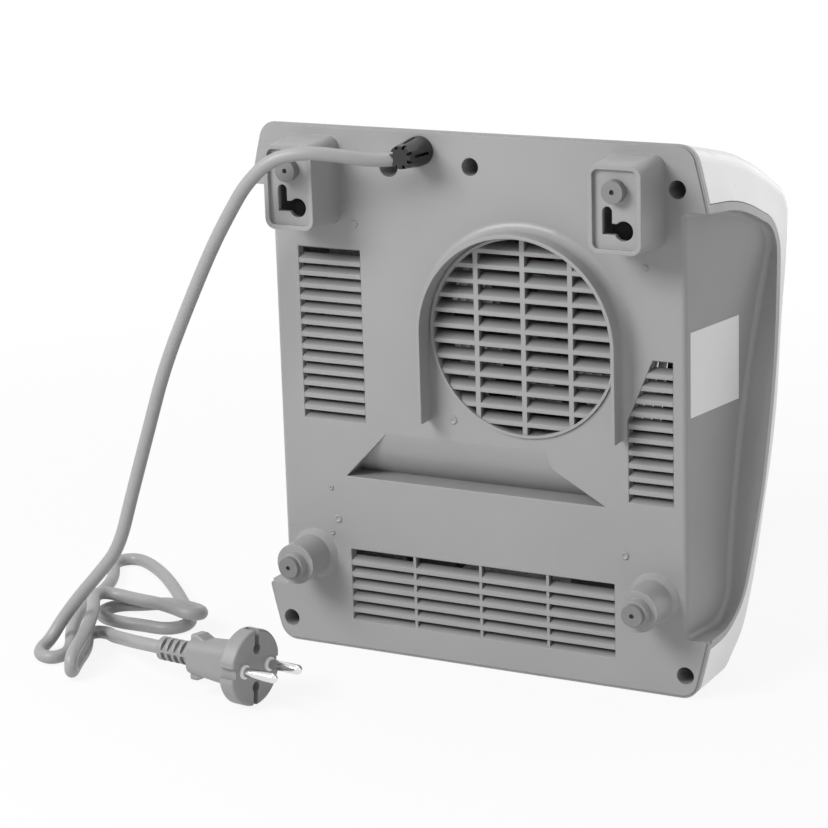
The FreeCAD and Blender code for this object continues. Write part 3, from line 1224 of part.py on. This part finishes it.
# Mains cord and plug
parts["mains_cord"] = tube(route, CORD_R)
tightest = []
for a, b, c in zip(route, route[1:], route[2:]):
    half = (b - a).getAngle(c - b) / 2
    tightest.append(TURN_SHARE * min((b - a).Length, (c - b).Length) / math.tan(half))
print("cord bend radii", " ".join("%.1f" % r for r in tightest))
run = Part.Wire(corner_path(route, [TURN_SHARE] * len(route))).Length
filled = parts["mains_cord"].Volume / (math.pi * CORD_R ** 2 * run)
print("cord length %.1f, volume share %.4f" % (run, filled))

# The plug is drawn along +Z from the end of its relief, then laid along the end of the cord
neck_start = PLUG_RELIEF_LENGTH
disc_start = neck_start + PLUG_NECK_LENGTH
plug_end = disc_start + PLUG_DISC_T


def plug_rect(width, height, radius, up):
    wire = rounded_rect(0, 0, width, height, radius, 0)
    wire.rotate(ORIGIN, ACROSS, -QUARTER_TURN)
    wire.translate(UP * up)
    return wire


relief = Part.makeCylinder(PLUG_RELIEF_R, neck_start, ORIGIN, UP)
rib_pitch = neck_start / (PLUG_RIB_ROWS + 1)
ribs = []
for k in range(PLUG_RIB_ROWS):
    up = rib_pitch * (k + 1) - PLUG_RIB_W / 2
    for turn in range(4):
        corner = Vector(-PLUG_RIB_H / 2, PLUG_RELIEF_R - PLUG_RIB_DEPTH, up)
        rib = Part.makeBox(PLUG_RIB_H, PLUG_RIB_DEPTH, PLUG_RIB_W, corner)
        ribs.append(rib.rotated(ORIGIN, UP, QUARTER_TURN * (turn + 1 / 2)))
neck = Part.makeLoft([
    plug_rect(PLUG_NECK_W, PLUG_NECK_H, PLUG_NECK_CORNER_R, neck_start),
    plug_rect(PLUG_ROOT_W, PLUG_ROOT_H, PLUG_NECK_CORNER_R, disc_start + PLUG_DISC_T / 2),
], True, True)
bump_end = neck_start + PLUG_BUMP_T
ramp_end = bump_end + PLUG_BUMP_RAMP
low_y = PLUG_NECK_H / 2
high_y = low_y + PLUG_BUMP_H
bump_outline = [(-high_y, neck_start), (high_y, neck_start), (high_y, bump_end)]
bump_outline += [(low_y, ramp_end), (-low_y, ramp_end), (-high_y, bump_end)]
bump = polygon([Vector(-PLUG_BUMP_W / 2, y, z) for y, z in bump_outline]).extrude(ACROSS * PLUG_BUMP_W)
bump = bump.makeFillet(PLUG_EDGE, bump.Edges)
disc = Part.makeCylinder(PLUG_DISC_R, PLUG_DISC_T, UP * disc_start, UP)
disc_corner = Vector(-PLUG_DISC_W / 2, -PLUG_DISC_R, 0)
disc = disc.common(Part.makeBox(PLUG_DISC_W, PLUG_DISC_R * 2, plug_end, disc_corner))
disc = disc.makeFillet(PLUG_EDGE, disc.Edges)
plug_cuts = []
for side in (-1, 1):
    slot_start = plug_end - PLUG_SLOT_DEPTH
    reach = PLUG_DISC_R - PLUG_SLOT_LENGTH
    slot = Part.makeBox(PLUG_SLOT_W, PLUG_DISC_R, PLUG_DISC_T, Vector(-PLUG_SLOT_W / 2, reach, slot_start))
    slot = slot.fuse(Part.makeCylinder(PLUG_SLOT_END_R, PLUG_DISC_T, Vector(0, reach, slot_start), UP))
    notch = Part.makeBox(PLUG_NOTCH, PLUG_NOTCH_H, PLUG_DISC_T)
    notch.translate(Vector(PLUG_DISC_W / 2 - PLUG_NOTCH, -PLUG_NOTCH_H / 2, disc_start))
    if side < 0:
        slot.rotate(ORIGIN, UP, HALF_TURN)
        notch.rotate(ORIGIN, UP, HALF_TURN)
    plug_cuts += [slot, notch]
pins = []
collars = []
for side in (-1, 1):
    foot = Vector(side * PIN_SPACING / 2, 0, plug_end)
    pin = Part.makeCylinder(PIN_R, PIN_LENGTH + PIN_SOCKET - PIN_R, foot - UP * PIN_SOCKET, UP)
    pins.append(pin.fuse(Part.makeSphere(PIN_R, foot + UP * (PIN_LENGTH - PIN_R))))
    plug_cuts.append(Part.makeCylinder(PIN_R, PIN_SOCKET, foot - UP * PIN_SOCKET, UP))
    collar = Part.makeCylinder(COLLAR_PIN_R, COLLAR_PIN_T, foot, UP)
    collars.append(collar.cut(Part.makeCylinder(PIN_R, PIN_LENGTH, foot, UP)))
plug = join([relief.cut(ribs), neck, bump, disc]).cut(plug_cuts)
along = route[-1] - route[-2]
heading = math.degrees(math.atan2(along.y, along.x))


def laid(shape):
    # Turn the plug so that its pins lie level, roll it a little, and point it along the cord
    shape = shape.rotated(ORIGIN, UP, QUARTER_TURN - PLUG_ROLL)
    shape = shape.rotated(ORIGIN, Vector(0, 1, 0), QUARTER_TURN)
    shape = shape.rotated(ORIGIN, UP, heading)
    return shape.translated(route[-1])


parts["plug_body"] = laid(plug)
parts["plug_pins"] = laid(Part.makeCompound(pins))
parts["pin_collars"] = laid(Part.makeCompound(collars))

os.makedirs("parts", exist_ok=True)
for name in sorted(parts):
    shape = parts[name].translated(Vector(0, PLATE_Y, 0))
    print(name, len(shape.Solids), round(shape.Volume), shape.isValid())
    shape.exportStep("parts/%s.step" % name)
print("panel at Y %.2f, front at %.2f" % (PLATE_Y, PLATE_Y - NOSE))
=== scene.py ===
import math

import bpy
from mathutils import Matrix, Vector


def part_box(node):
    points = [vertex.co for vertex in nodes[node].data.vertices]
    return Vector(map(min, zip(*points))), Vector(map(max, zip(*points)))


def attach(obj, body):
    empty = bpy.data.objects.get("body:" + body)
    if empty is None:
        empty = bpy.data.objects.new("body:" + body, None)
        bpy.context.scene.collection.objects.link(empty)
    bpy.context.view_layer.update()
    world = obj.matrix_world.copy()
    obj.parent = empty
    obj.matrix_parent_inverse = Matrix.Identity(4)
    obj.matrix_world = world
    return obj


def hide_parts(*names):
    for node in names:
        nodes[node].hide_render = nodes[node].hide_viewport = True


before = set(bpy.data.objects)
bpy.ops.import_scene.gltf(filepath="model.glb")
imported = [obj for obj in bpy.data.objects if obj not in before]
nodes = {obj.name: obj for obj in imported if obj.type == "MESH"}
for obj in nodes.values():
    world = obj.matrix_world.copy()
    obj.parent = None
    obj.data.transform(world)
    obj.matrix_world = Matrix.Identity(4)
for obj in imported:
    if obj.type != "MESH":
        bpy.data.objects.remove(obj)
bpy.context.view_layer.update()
scene = bpy.context.scene
scene.view_settings.view_transform = "Standard"

MM = 0.001
WHITE = (1, 1, 1, 1)

# The rear panel's place along Y: the wall buffers stand off from it
STANDOFF = 0.027
PANEL_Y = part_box("wall_bumpers")[1].y - STANDOFF

# Materials: samples for the rounding of edges, and the rounding on small pieces
EDGE_SAMPLES = 4
FINE_EDGE = 0.0002

# All plastics: how far the roughness strays to the glossy and to the dull side
PLASTIC_GLOSSIER = 0.06
PLASTIC_DULLER = 0.07

# All metals: the same, and the darkest and palest shade of the colour
METAL_GLOSSIER = 0.07
METAL_DULLER = 0.09
METAL_DARK = 0.86
METAL_PALE = 1.08

# The housing's plastic: its colour, and the scale and the depth of its grain
GREY = (0.32, 0.32, 0.323)
HOUSING_GRAIN = 2600
HOUSING_GRAIN_DEPTH = 0.00003

# The louvres, with painted shade on each blade: the depths inside the panel's face where the painted shade is
# darkest and where the blade has its full colour, and the darkest painted shade of that colour
BLADE_PAINTED_SHADE_DEPTH = 0.0036
BLADE_UNSHADED_DEPTH = 0.0002
BLADE_PAINTED_SHADE = 0.3


class Shader:
    """A node material built step by step around one Principled shader."""

    def __init__(self, name):
        self.material = bpy.data.materials.new(name)
        self.material.use_nodes = True
        self.nodes = self.material.node_tree.nodes
        self.links = self.material.node_tree.links
        self.bsdf = self.nodes["Principled BSDF"]
        self.place = self.nodes.new("ShaderNodeTexCoord").outputs["Object"]

    def set(self, **values):
        for key, value in values.items():
            self.bsdf.inputs[key.replace("_", " ")].default_value = value

    def stretched(self, scale):
        mapping = self.nodes.new("ShaderNodeMapping")
        mapping.inputs["Scale"].default_value = scale
        self.links.new(self.place, mapping.inputs["Vector"])
        return mapping.outputs["Vector"]

    def noise(self, scale, detail=2.0, rough=0.5, vector=None):
        node = self.nodes.new("ShaderNodeTexNoise")
        node.inputs["Scale"].default_value = scale
        node.inputs["Detail"].default_value = detail
        node.inputs["Roughness"].default_value = rough
        self.links.new(vector or self.place, node.inputs["Vector"])
        return node.outputs["Fac"]

    def wave(self, direction, scale, distortion=0.0):
        node = self.nodes.new("ShaderNodeTexWave")
        node.bands_direction = direction
        node.inputs["Scale"].default_value = scale
        node.inputs["Distortion"].default_value = distortion
        self.links.new(self.place, node.inputs["Vector"])
        return node.outputs["Fac"]

    def ramp(self, value, low, high, start=0.3, end=0.7):
        node = self.nodes.new("ShaderNodeMapRange")
        node.inputs["From Min"].default_value = start
        node.inputs["From Max"].default_value = end
        node.inputs["To Min"].default_value = low
        node.inputs["To Max"].default_value = high
        self.links.new(value, node.inputs["Value"])
        return node.outputs["Result"]

    def colours(self, value, low, high, start=0.3, end=0.7):
        node = self.nodes.new("ShaderNodeValToRGB")
        node.color_ramp.elements[0].position = start
        node.color_ramp.elements[0].color = (*low, 1)
        node.color_ramp.elements[1].position = end
        node.color_ramp.elements[1].color = (*high, 1)
        self.links.new(value, node.inputs["Fac"])
        return node.outputs["Color"]

    def bump(self, value, distance, strength=1.0, under=None):
        node = self.nodes.new("ShaderNodeBump")
        node.inputs["Distance"].default_value = distance
        node.inputs["Strength"].default_value = strength
        self.links.new(value, node.inputs["Height"])
        if under is not None:
            self.links.new(under, node.inputs["Normal"])
        return node.outputs["Normal"]

    def soft_edges(self, radius):
        node = self.nodes.new("ShaderNodeBevel")
        node.samples = EDGE_SAMPLES
        node.inputs["Radius"].default_value = radius
        return node.outputs["Normal"]

    def to(self, value, name):
        self.links.new(value, self.bsdf.inputs[name])


def shade(colour, factor):
    return tuple(c * factor for c in colour)


def moulded(s, rough, grain, depth, under):
    # The patches of gloss and the fine grain that all plastics have
    patches = s.noise(scale=46, detail=5, rough=0.6)
    s.to(s.ramp(patches, rough - PLASTIC_GLOSSIER, rough + PLASTIC_DULLER), "Roughness")
    s.to(s.bump(s.noise(grain, detail=3, rough=0.6), depth, strength=0.6, under=under), "Normal")


def plastic(name, colour, rough, grain, depth, tone, edge=0.0, coat=0.0):
    s = Shader(name)
    cloud = s.noise(scale=14, detail=4, rough=0.55)
    s.to(s.colours(cloud, shade(colour, 1 - tone), shade(colour, 1 + tone)), "Base Color")
    moulded(s, rough, grain, depth, s.soft_edges(edge) if edge else None)
    s.set(Coat_Weight=coat, Coat_Roughness=0.12)
    return s.material


def louvre_plastic_painted_shade(name, colour, rough):
    # The housing's plastic with painted shade, darker towards the inner end of each blade
    s = Shader(name)
    axes = s.nodes.new("ShaderNodeSeparateXYZ")
    s.links.new(s.place, axes.inputs["Vector"])
    painted_shade_y = PANEL_Y - BLADE_PAINTED_SHADE_DEPTH
    unshaded_y = PANEL_Y - BLADE_UNSHADED_DEPTH
    # The painted shade: full colour at the panel's face, fading to the darkest shade further inside
    unshaded_share = s.ramp(axes.outputs["Y"], low=0.0, high=1.0, start=painted_shade_y, end=unshaded_y)
    s.to(s.colours(unshaded_share, shade(colour, BLADE_PAINTED_SHADE), colour, start=0.0, end=1.0), "Base Color")
    moulded(s, rough, HOUSING_GRAIN, HOUSING_GRAIN_DEPTH, s.soft_edges(FINE_EDGE))
    return s.material


def metal(name, colour, rough, along=(1, 1, 1), depth=0.00002):
    s = Shader(name)
    streak = s.noise(scale=900, detail=3, rough=0.6, vector=s.stretched(along))
    cloud = s.noise(scale=30, detail=4)
    s.to(s.colours(cloud, shade(colour, METAL_DARK), shade(colour, METAL_PALE)), "Base Color")
    s.to(s.ramp(streak, rough - METAL_GLOSSIER, rough + METAL_DULLER), "Roughness")
    s.to(s.bump(streak, depth, strength=0.5, under=s.soft_edges(FINE_EDGE)), "Normal")
    s.set(Metallic=1.0)
    return s.material


def winding(name, colour):
    # Enamelled wire laid side by side round the leg of the core
    s = Shader(name)
    turns = s.wave("X", scale=700, distortion=0.6)
    s.to(s.colours(turns, shade(colour, factor=0.35), colour), "Base Color")
    s.to(s.bump(turns, distance=0.0003), "Normal")
    s.set(Metallic=0.7, Roughness=0.35)
    return s.material


def stacked(name, colour):
    # Sheet-steel laminations seen on edge
    s = Shader(name)
    cloud = s.noise(scale=60, detail=4)
    s.to(s.colours(cloud, shade(colour, factor=0.8), shade(colour, factor=1.2)), "Base Color")
    s.to(s.bump(s.wave("Y", scale=500), distance=0.0001), "Normal")
    s.set(Metallic=0.8, Roughness=0.5)
    return s.material


housing_grey = plastic(
    "housing_grey", GREY, rough=0.36, grain=HOUSING_GRAIN, depth=HOUSING_GRAIN_DEPTH, tone=0.03, edge=0.0007,
)
# The louvres' grey, with painted shade towards the inner end of each blade
shaded_grille_grey = louvre_plastic_painted_shade("shaded_grille_grey", GREY, rough=0.38)
cover_white = plastic(
    "cover_white", (0.85, 0.85, 0.845), rough=0.32, grain=1800, depth=0.00002, tone=0.015, edge=0.0006,
    coat=0.25,
)
knob_white = plastic(
    "knob_white", (0.76, 0.76, 0.755), rough=0.3, grain=1800, depth=0.00002, tone=0.02, edge=0.0006, coat=0.3,
)
label_film = plastic("label_film", (0.86, 0.86, 0.86), rough=0.38, grain=1200, depth=0.00001, tone=0.02)
buffer_rubber = plastic(
    "buffer_rubber", (0.2, 0.2, 0.2), rough=0.6, grain=1500, depth=0.00005, tone=0.08, edge=0.0004,
)
gland_black = plastic(
    "gland_black", (0.012, 0.012, 0.012), rough=0.34, grain=1800, depth=0.00003, tone=0.2, edge=0.0003,
)
cord_grey = plastic("cord_grey", (0.32, 0.32, 0.322), rough=0.42, grain=900, depth=0.00003, tone=0.05)
plug_grey = plastic(
    "plug_grey", (0.28, 0.28, 0.282), rough=0.45, grain=1600, depth=0.00004, tone=0.05, edge=0.0005,
)
collar_white = plastic(
    "collar_white", (0.88, 0.88, 0.86), rough=0.35, grain=1600, depth=0.00002, tone=0.03, edge=FINE_EDGE,
)
duct_black = plastic(
    "duct_black", (0.03, 0.03, 0.031), rough=0.5, grain=1500, depth=0.00004, tone=0.15, edge=0.0003,
)
fan_black = plastic(
    "fan_black", (0.022, 0.022, 0.023), rough=0.4, grain=1500, depth=0.00003, tone=0.15, edge=0.0003,
)
device_black = plastic(
    "device_black", (0.02, 0.02, 0.021), rough=0.45, grain=1500, depth=0.00004, tone=0.15, edge=0.0003,
)
wire_blue = plastic("wire_blue", (0.03, 0.06, 0.22), rough=0.4, grain=1500, depth=0.00002, tone=0.08)
lamp_shell = plastic(
    "lamp_shell", (0.7, 0.68, 0.64), rough=0.4, grain=1500, depth=0.00002, tone=0.04, edge=FINE_EDGE,
)
lens_red = plastic(
    "lens_red", (0.55, 0.02, 0.012), rough=0.18, grain=1500, depth=0.00001, tone=0.08, edge=0.0003, coat=0.6,
)
pin_chrome = metal("pin_chrome", (0.76, 0.76, 0.77), rough=0.14, along=(1, 6, 6), depth=0.000003)
screw_zinc = metal("screw_zinc", (0.5, 0.5, 0.52), rough=0.32)
sheet_steel = metal("sheet_steel", (0.48, 0.48, 0.5), rough=0.34, along=(1, 8, 8))
fin_aluminium = metal("fin_aluminium", (0.2, 0.2, 0.205), rough=0.5, along=(6, 6, 1))
bronze = metal("bronze", (0.32, 0.22, 0.11), rough=0.4)
copper_coil = winding("copper_coil", (0.2, 0.09, 0.045))
core_steel = stacked("core_steel", (0.16, 0.16, 0.17))

looks = {
    housing_grey: ["rear_housing"],
    shaded_grille_grey: ["fan_inlet_grille", "left_vent_louvres", "right_vent_louvres", "lower_vent_louvres"],
    cover_white: ["front_cover", "outlet_grille"],
    knob_white: ["thermostat_knob", "selector_knob"],
    label_film: ["rating_label"],
    buffer_rubber: ["wall_bumpers"],
    gland_black: ["cord_gland"],
    cord_grey: ["mains_cord", "inner_lead"],
    plug_grey: ["plug_body"],
    collar_white: ["pin_collars", "terminal_block", "cord_clamp"],
    duct_black: ["fan_shroud", "element_frame"],
    fan_black: ["impeller"],
    device_black: ["thermostat_body", "selector_body", "thermal_cutout"],
    wire_blue: ["inner_wires"],
    lamp_shell: ["pilot_lamp"],
    lens_red: ["pilot_lens"],
    pin_chrome: ["plug_pins"],
    screw_zinc: [
        "cover_screws", "clamp_screws", "shroud_screws", "bracket_screws", "motor_screws", "element_screws",
        "terminal_screws", "thermostat_nut", "selector_nut", "impeller_nut",
    ],
    sheet_steel: ["motor_bracket", "front_bridge", "motor_shaft", "thermostat_shaft", "selector_shaft"],
    fin_aluminium: ["element_fins", "motor_rotor"],
    bronze: ["front_bearing", "rear_bearing", "element_terminals", "thermal_fuse"],
    copper_coil: ["motor_coil"],
    core_steel: ["motor_stator"],
}
for material, names in looks.items():
    for name in names:
        data = nodes[name].data
        data.materials.clear()
        data.materials.append(material)

# Mains cord: the route's points as mm to the right, behind the panel and up
ROUTE = (
    (27.2, 13.2, 248.6), (37.0, 20.5, 247.9), (48.5, 28.0, 250.6), (65.0, 37.0, 253.4), (81.5, 40.5, 250.0),
    (95.5, 41.0, 237.5), (106.0, 40.0, 222.5), (116.5, 39.3, 206.0), (131.5, 38.8, 177.5),
    (147.5, 38.5, 144.5), (158.0, 39.5, 112.5), (166.9, 43.8, 80.1), (172.9, 48.5, 53.8), (183.9, 50.5, 40.2),
    (195.2, 52.0, 27.6), (204.6, 55.5, 14.8), (208.6, 61.5, 5.2), (208.8, 69.5, 3.3), (203.5, 77.5, 3.3),
    (195.2, 78.8, 3.3), (192.3, 70.3, 3.3), (198.6, 57.5, 3.3), (208.2, 44.0, 3.3), (216.0, 29.5, 3.3),
    (223.0, 14.5, 3.3), (227.5, -1.0, 3.3), (230.0, -17.0, 3.3), (235.0, -32.5, 3.3), (242.0, -45.5, 3.3),
    (249.5, -55.5, 3.3), (250.5, -65.0, 3.3), (243.0, -70.0, 3.3), (231.5, -65.0, 3.3), (214.5, -52.0, 3.3),
    (198.0, -36.0, 3.3), (183.0, -20.0, 3.3), (170.5, -6.0, 3.3), (161.5, 4.5, 3.3), (160.5, 14.0, 3.3),
    (167.0, 21.0, 3.3), (180.0, 20.5, 3.3), (195.0, 21.3, 3.3), (207.5, 18.0, 3.3), (213.0, 8.5, 3.3),
    (209.0, -1.5, 3.3), (197.0, -4.0, 4.2), (183.5, -1.5, 7.5), (171.0, 2.0, 9.8), (161.0, 5.0, 10.2),
    (153.0, 8.5, 10.8), (148.5, 15.5, 12.0), (153.0, 21.4, 13.4), (163.5, 18.0, 14.0), (177.0, 12.5, 13.2),
    (193.0, 6.0, 10.8), (206.0, 3.0, 10.6), (213.5, 6.5, 12.2), (213.8, 14.5, 13.2), (207.5, 24.0, 13.5),
    (197.5, 39.5, 13.6), (188.0, 58.5, 13.4), (180.0, 77.5, 12.8), (174.0, 92.5, 12.5), (173.0, 95.1, 7.9),
    (174.6, 92.5, 3.3), (180.8, 79.0, 3.3), (186.5, 63.5, 3.3), (193.3, 51.5, 3.3), (198.2, 45.2, 3.3),
    (197.8, 37.4, 3.3), (189.0, 38.6, 4.0), (179.7, 48.6, 7.0), (168.4, 58.0, 10.6), (156.0, 68.9, 14.8),
    (144.5, 78.0, 18.3), (129.6, 79.6, 18.3),
)
CORD_RADIUS = 0.00325
CORD_STEPS = 10
CORD_ROUNDNESS = 8
CORD_ORDER = 3
points = [Vector((x * MM, y * MM + PANEL_Y, z * MM)) for x, y, z in ROUTE]
curve = bpy.data.curves.new("flex", "CURVE")
curve.dimensions = "3D"
curve.resolution_u = CORD_STEPS
curve.bevel_depth = CORD_RADIUS
curve.bevel_resolution = CORD_ROUNDNESS
curve.use_fill_caps = True
spline = curve.splines.new("NURBS")
spline.points.add(len(points) - 1)
for control, point in zip(spline.points, points):
    control.co = (*point, 1)
spline.order_u = CORD_ORDER
spline.use_endpoint_u = True
curve.materials.append(cord_grey)
flex = bpy.data.objects.new("flex", curve)
scene.collection.objects.link(flex)
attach(flex, "heater")
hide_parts("mains_cord")

# Moulding marks on the panel, as place to the right, place up and radius: each is a low ring round a dimple
MARKS = (
    (0.062, 0.2129, 0.0021), (0.0122, 0.1223, 0.0021), (0.0766, 0.066, 0.0021), (0.0799, 0.0815, 0.0013),
    (0.08, 0.0587, 0.0013), (-0.0868, 0.2028, 0.0016), (-0.0754, 0.0661, 0.0021),
)
# A mark's section from its rim to its middle, as shares of its radius and of its height
MARK_SHARES = ((1.0, 0.0), (0.92, 0.75), (0.7, 1.0), (0.5, 0.55), (0.3, 0.2), (0.0, 0.12))
MARK_HEIGHT = 0.0007
MARK_SIDES = 28
MARK_ROWS = len(MARK_SHARES) - 2
mark_points = []
mark_faces = []
for x, z, radius in MARKS:
    first = len(mark_points)
    for reach, lift in MARK_SHARES[:-1]:
        y = PANEL_Y + MARK_HEIGHT * lift
        for k in range(MARK_SIDES):
            a = math.tau * k / MARK_SIDES
            mark_points.append((x + radius * reach * math.cos(a), y, z + radius * reach * math.sin(a)))
    mark_points.append((x, PANEL_Y + MARK_HEIGHT * MARK_SHARES[-1][1], z))
    for row in range(MARK_ROWS):
        low = first + row * MARK_SIDES
        for k in range(MARK_SIDES):
            n = (k + 1) % MARK_SIDES
            mark_faces.append((low + k, low + MARK_SIDES + k, low + MARK_SIDES + n, low + n))
    low = first + MARK_ROWS * MARK_SIDES
    for k in range(MARK_SIDES):
        mark_faces.append((low + k, low + MARK_SIDES, low + (k + 1) % MARK_SIDES))
mark_mesh = bpy.data.meshes.new("moulding_marks")
mark_mesh.from_pydata(mark_points, [], mark_faces)
mark_mesh.shade_smooth()
mark_mesh.materials.append(housing_grey)
marks = bpy.data.objects.new("moulding_marks", mark_mesh)
scene.collection.objects.link(marks)
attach(marks, "heater")


def seen_or_mirrored(tree):
    # One for rays from the camera and for those that a mirror or a glass sends on
    path = tree.nodes.new("ShaderNodeLightPath")
    seen = path.outputs["Is Camera Ray"]
    for other in ("Is Glossy Ray", "Is Transmission Ray"):
        either = tree.nodes.new("ShaderNodeMath")
        either.operation = "MAXIMUM"
        tree.links.new(seen, either.inputs[0])
        tree.links.new(path.outputs[other], either.inputs[1])
        seen = either.outputs["Value"]
    return seen


# Floor: white, and glowing where it is seen or mirrored, the more so the further it is from the heater
FLOOR_DARK = (0.78, 0.78, 0.78)
FLOOR_PALE = (0.8, 0.8, 0.8)
FLOOR_REACH = 12
FLOOR_DROP = 0.0002
FLOOR_CORNERS = ((-1, -1), (1, -1), (1, 1), (-1, 1))
GLOW_NEAR = 0.3
GLOW_FAR = 0.8
GLOW_NEAR_SHARE = 0.88
GLOW_FAR_SHARE = 1.0
floor_look = Shader("floor_white")
floor_look.to(floor_look.colours(floor_look.noise(scale=3), FLOOR_DARK, FLOOR_PALE), "Base Color")
floor_look.set(Roughness=0.9)
glow = floor_look.nodes.new("ShaderNodeEmission")
glow.inputs["Color"].default_value = WHITE
seen = seen_or_mirrored(floor_look.material.node_tree)
distance = floor_look.nodes.new("ShaderNodeVectorMath")
distance.operation = "LENGTH"
floor_look.links.new(floor_look.place, distance.inputs[0])
growth = floor_look.ramp(distance.outputs["Value"], GLOW_NEAR_SHARE, GLOW_FAR_SHARE, GLOW_NEAR, GLOW_FAR)
share = floor_look.nodes.new("ShaderNodeMath")
share.operation = "MULTIPLY"
floor_look.links.new(seen, share.inputs[0])
floor_look.links.new(growth, share.inputs[1])
mix = floor_look.nodes.new("ShaderNodeMixShader")
floor_look.links.new(share.outputs["Value"], mix.inputs["Fac"])
floor_look.links.new(floor_look.bsdf.outputs["BSDF"], mix.inputs[1])
floor_look.links.new(glow.outputs["Emission"], mix.inputs[2])
floor_look.links.new(mix.outputs["Shader"], floor_look.nodes["Material Output"].inputs["Surface"])
ground = bpy.data.meshes.new("floor")
ground.from_pydata([(x * FLOOR_REACH, y * FLOOR_REACH, 0) for x, y in FLOOR_CORNERS], [], [(0, 1, 2, 3)])
ground.materials.append(floor_look.material)
floor = bpy.data.objects.new("floor", ground)
floor.location.z = -FLOOR_DROP
scene.collection.objects.link(floor)

# Camera: its axes and its place
FOCAL_MM = 122.09
SENSOR_MM = 36
CLIP_END = 100
right = Vector((-0.88415, -0.46626, -0.02998))
up = Vector((0.09628, -0.24463, 0.96483))
back = Vector((-0.45719, 0.85016, 0.26118))
place = Vector((-0.5767, PANEL_Y + 1.1338, 0.4715))
lens = bpy.data.cameras.new("camera")
lens.lens = FOCAL_MM
lens.sensor_width = SENSOR_MM
lens.clip_end = CLIP_END
lens.dof.use_dof = False
camera = bpy.data.objects.new("camera", lens)
camera.matrix_world = Matrix((
    (right.x, up.x, back.x, place.x),
    (right.y, up.y, back.y, place.y),
    (right.z, up.z, back.z, place.z),
    (0, 0, 0, 1),
))
scene.collection.objects.link(camera)
scene.camera = camera


def softbox(name, at, target, size, power):
    light = bpy.data.lights.new(name, "AREA")
    light.shape = "RECTANGLE"
    light.size, light.size_y = size
    light.energy = power
    lamp = bpy.data.objects.new(name, light)
    lamp.location = at
    lamp.rotation_euler = (Vector(target) - Vector(at)).to_track_quat("-Z", "Y").to_euler()
    scene.collection.objects.link(lamp)


# Lamps, and the world's brightness as a light and as it is seen
WORLD_LIGHT = 0.34
WORLD_SEEN = 1.0
softbox("key", at=(0.5, 0.85, 0.8), target=(0.0, 0.04, 0.2), size=(0.6, 0.45), power=11.5)
softbox("side", at=(-1.4, 0.05, 0.65), target=(0.0, 0.0, 0.13), size=(1.2, 1.2), power=1.5)
softbox("rim", at=(-0.5, -1.4, 0.5), target=(0.0, -0.02, 0.15), size=(1.0, 1.0), power=4.0)
softbox("top", at=(0.0, -0.3, 1.7), target=(0.0, 0.0, 0.1), size=(1.6, 1.2), power=6.5)
world = bpy.data.worlds.new("world")
scene.world = world
world.use_nodes = True
tree = world.node_tree
sky = tree.nodes["Background"]
sky.inputs["Color"].default_value = WHITE
level = tree.nodes.new("ShaderNodeMapRange")
level.inputs["To Min"].default_value = WORLD_LIGHT
level.inputs["To Max"].default_value = WORLD_SEEN
tree.links.new(seen_or_mirrored(tree), level.inputs["Value"])
tree.links.new(level.outputs["Result"], sky.inputs["Strength"])
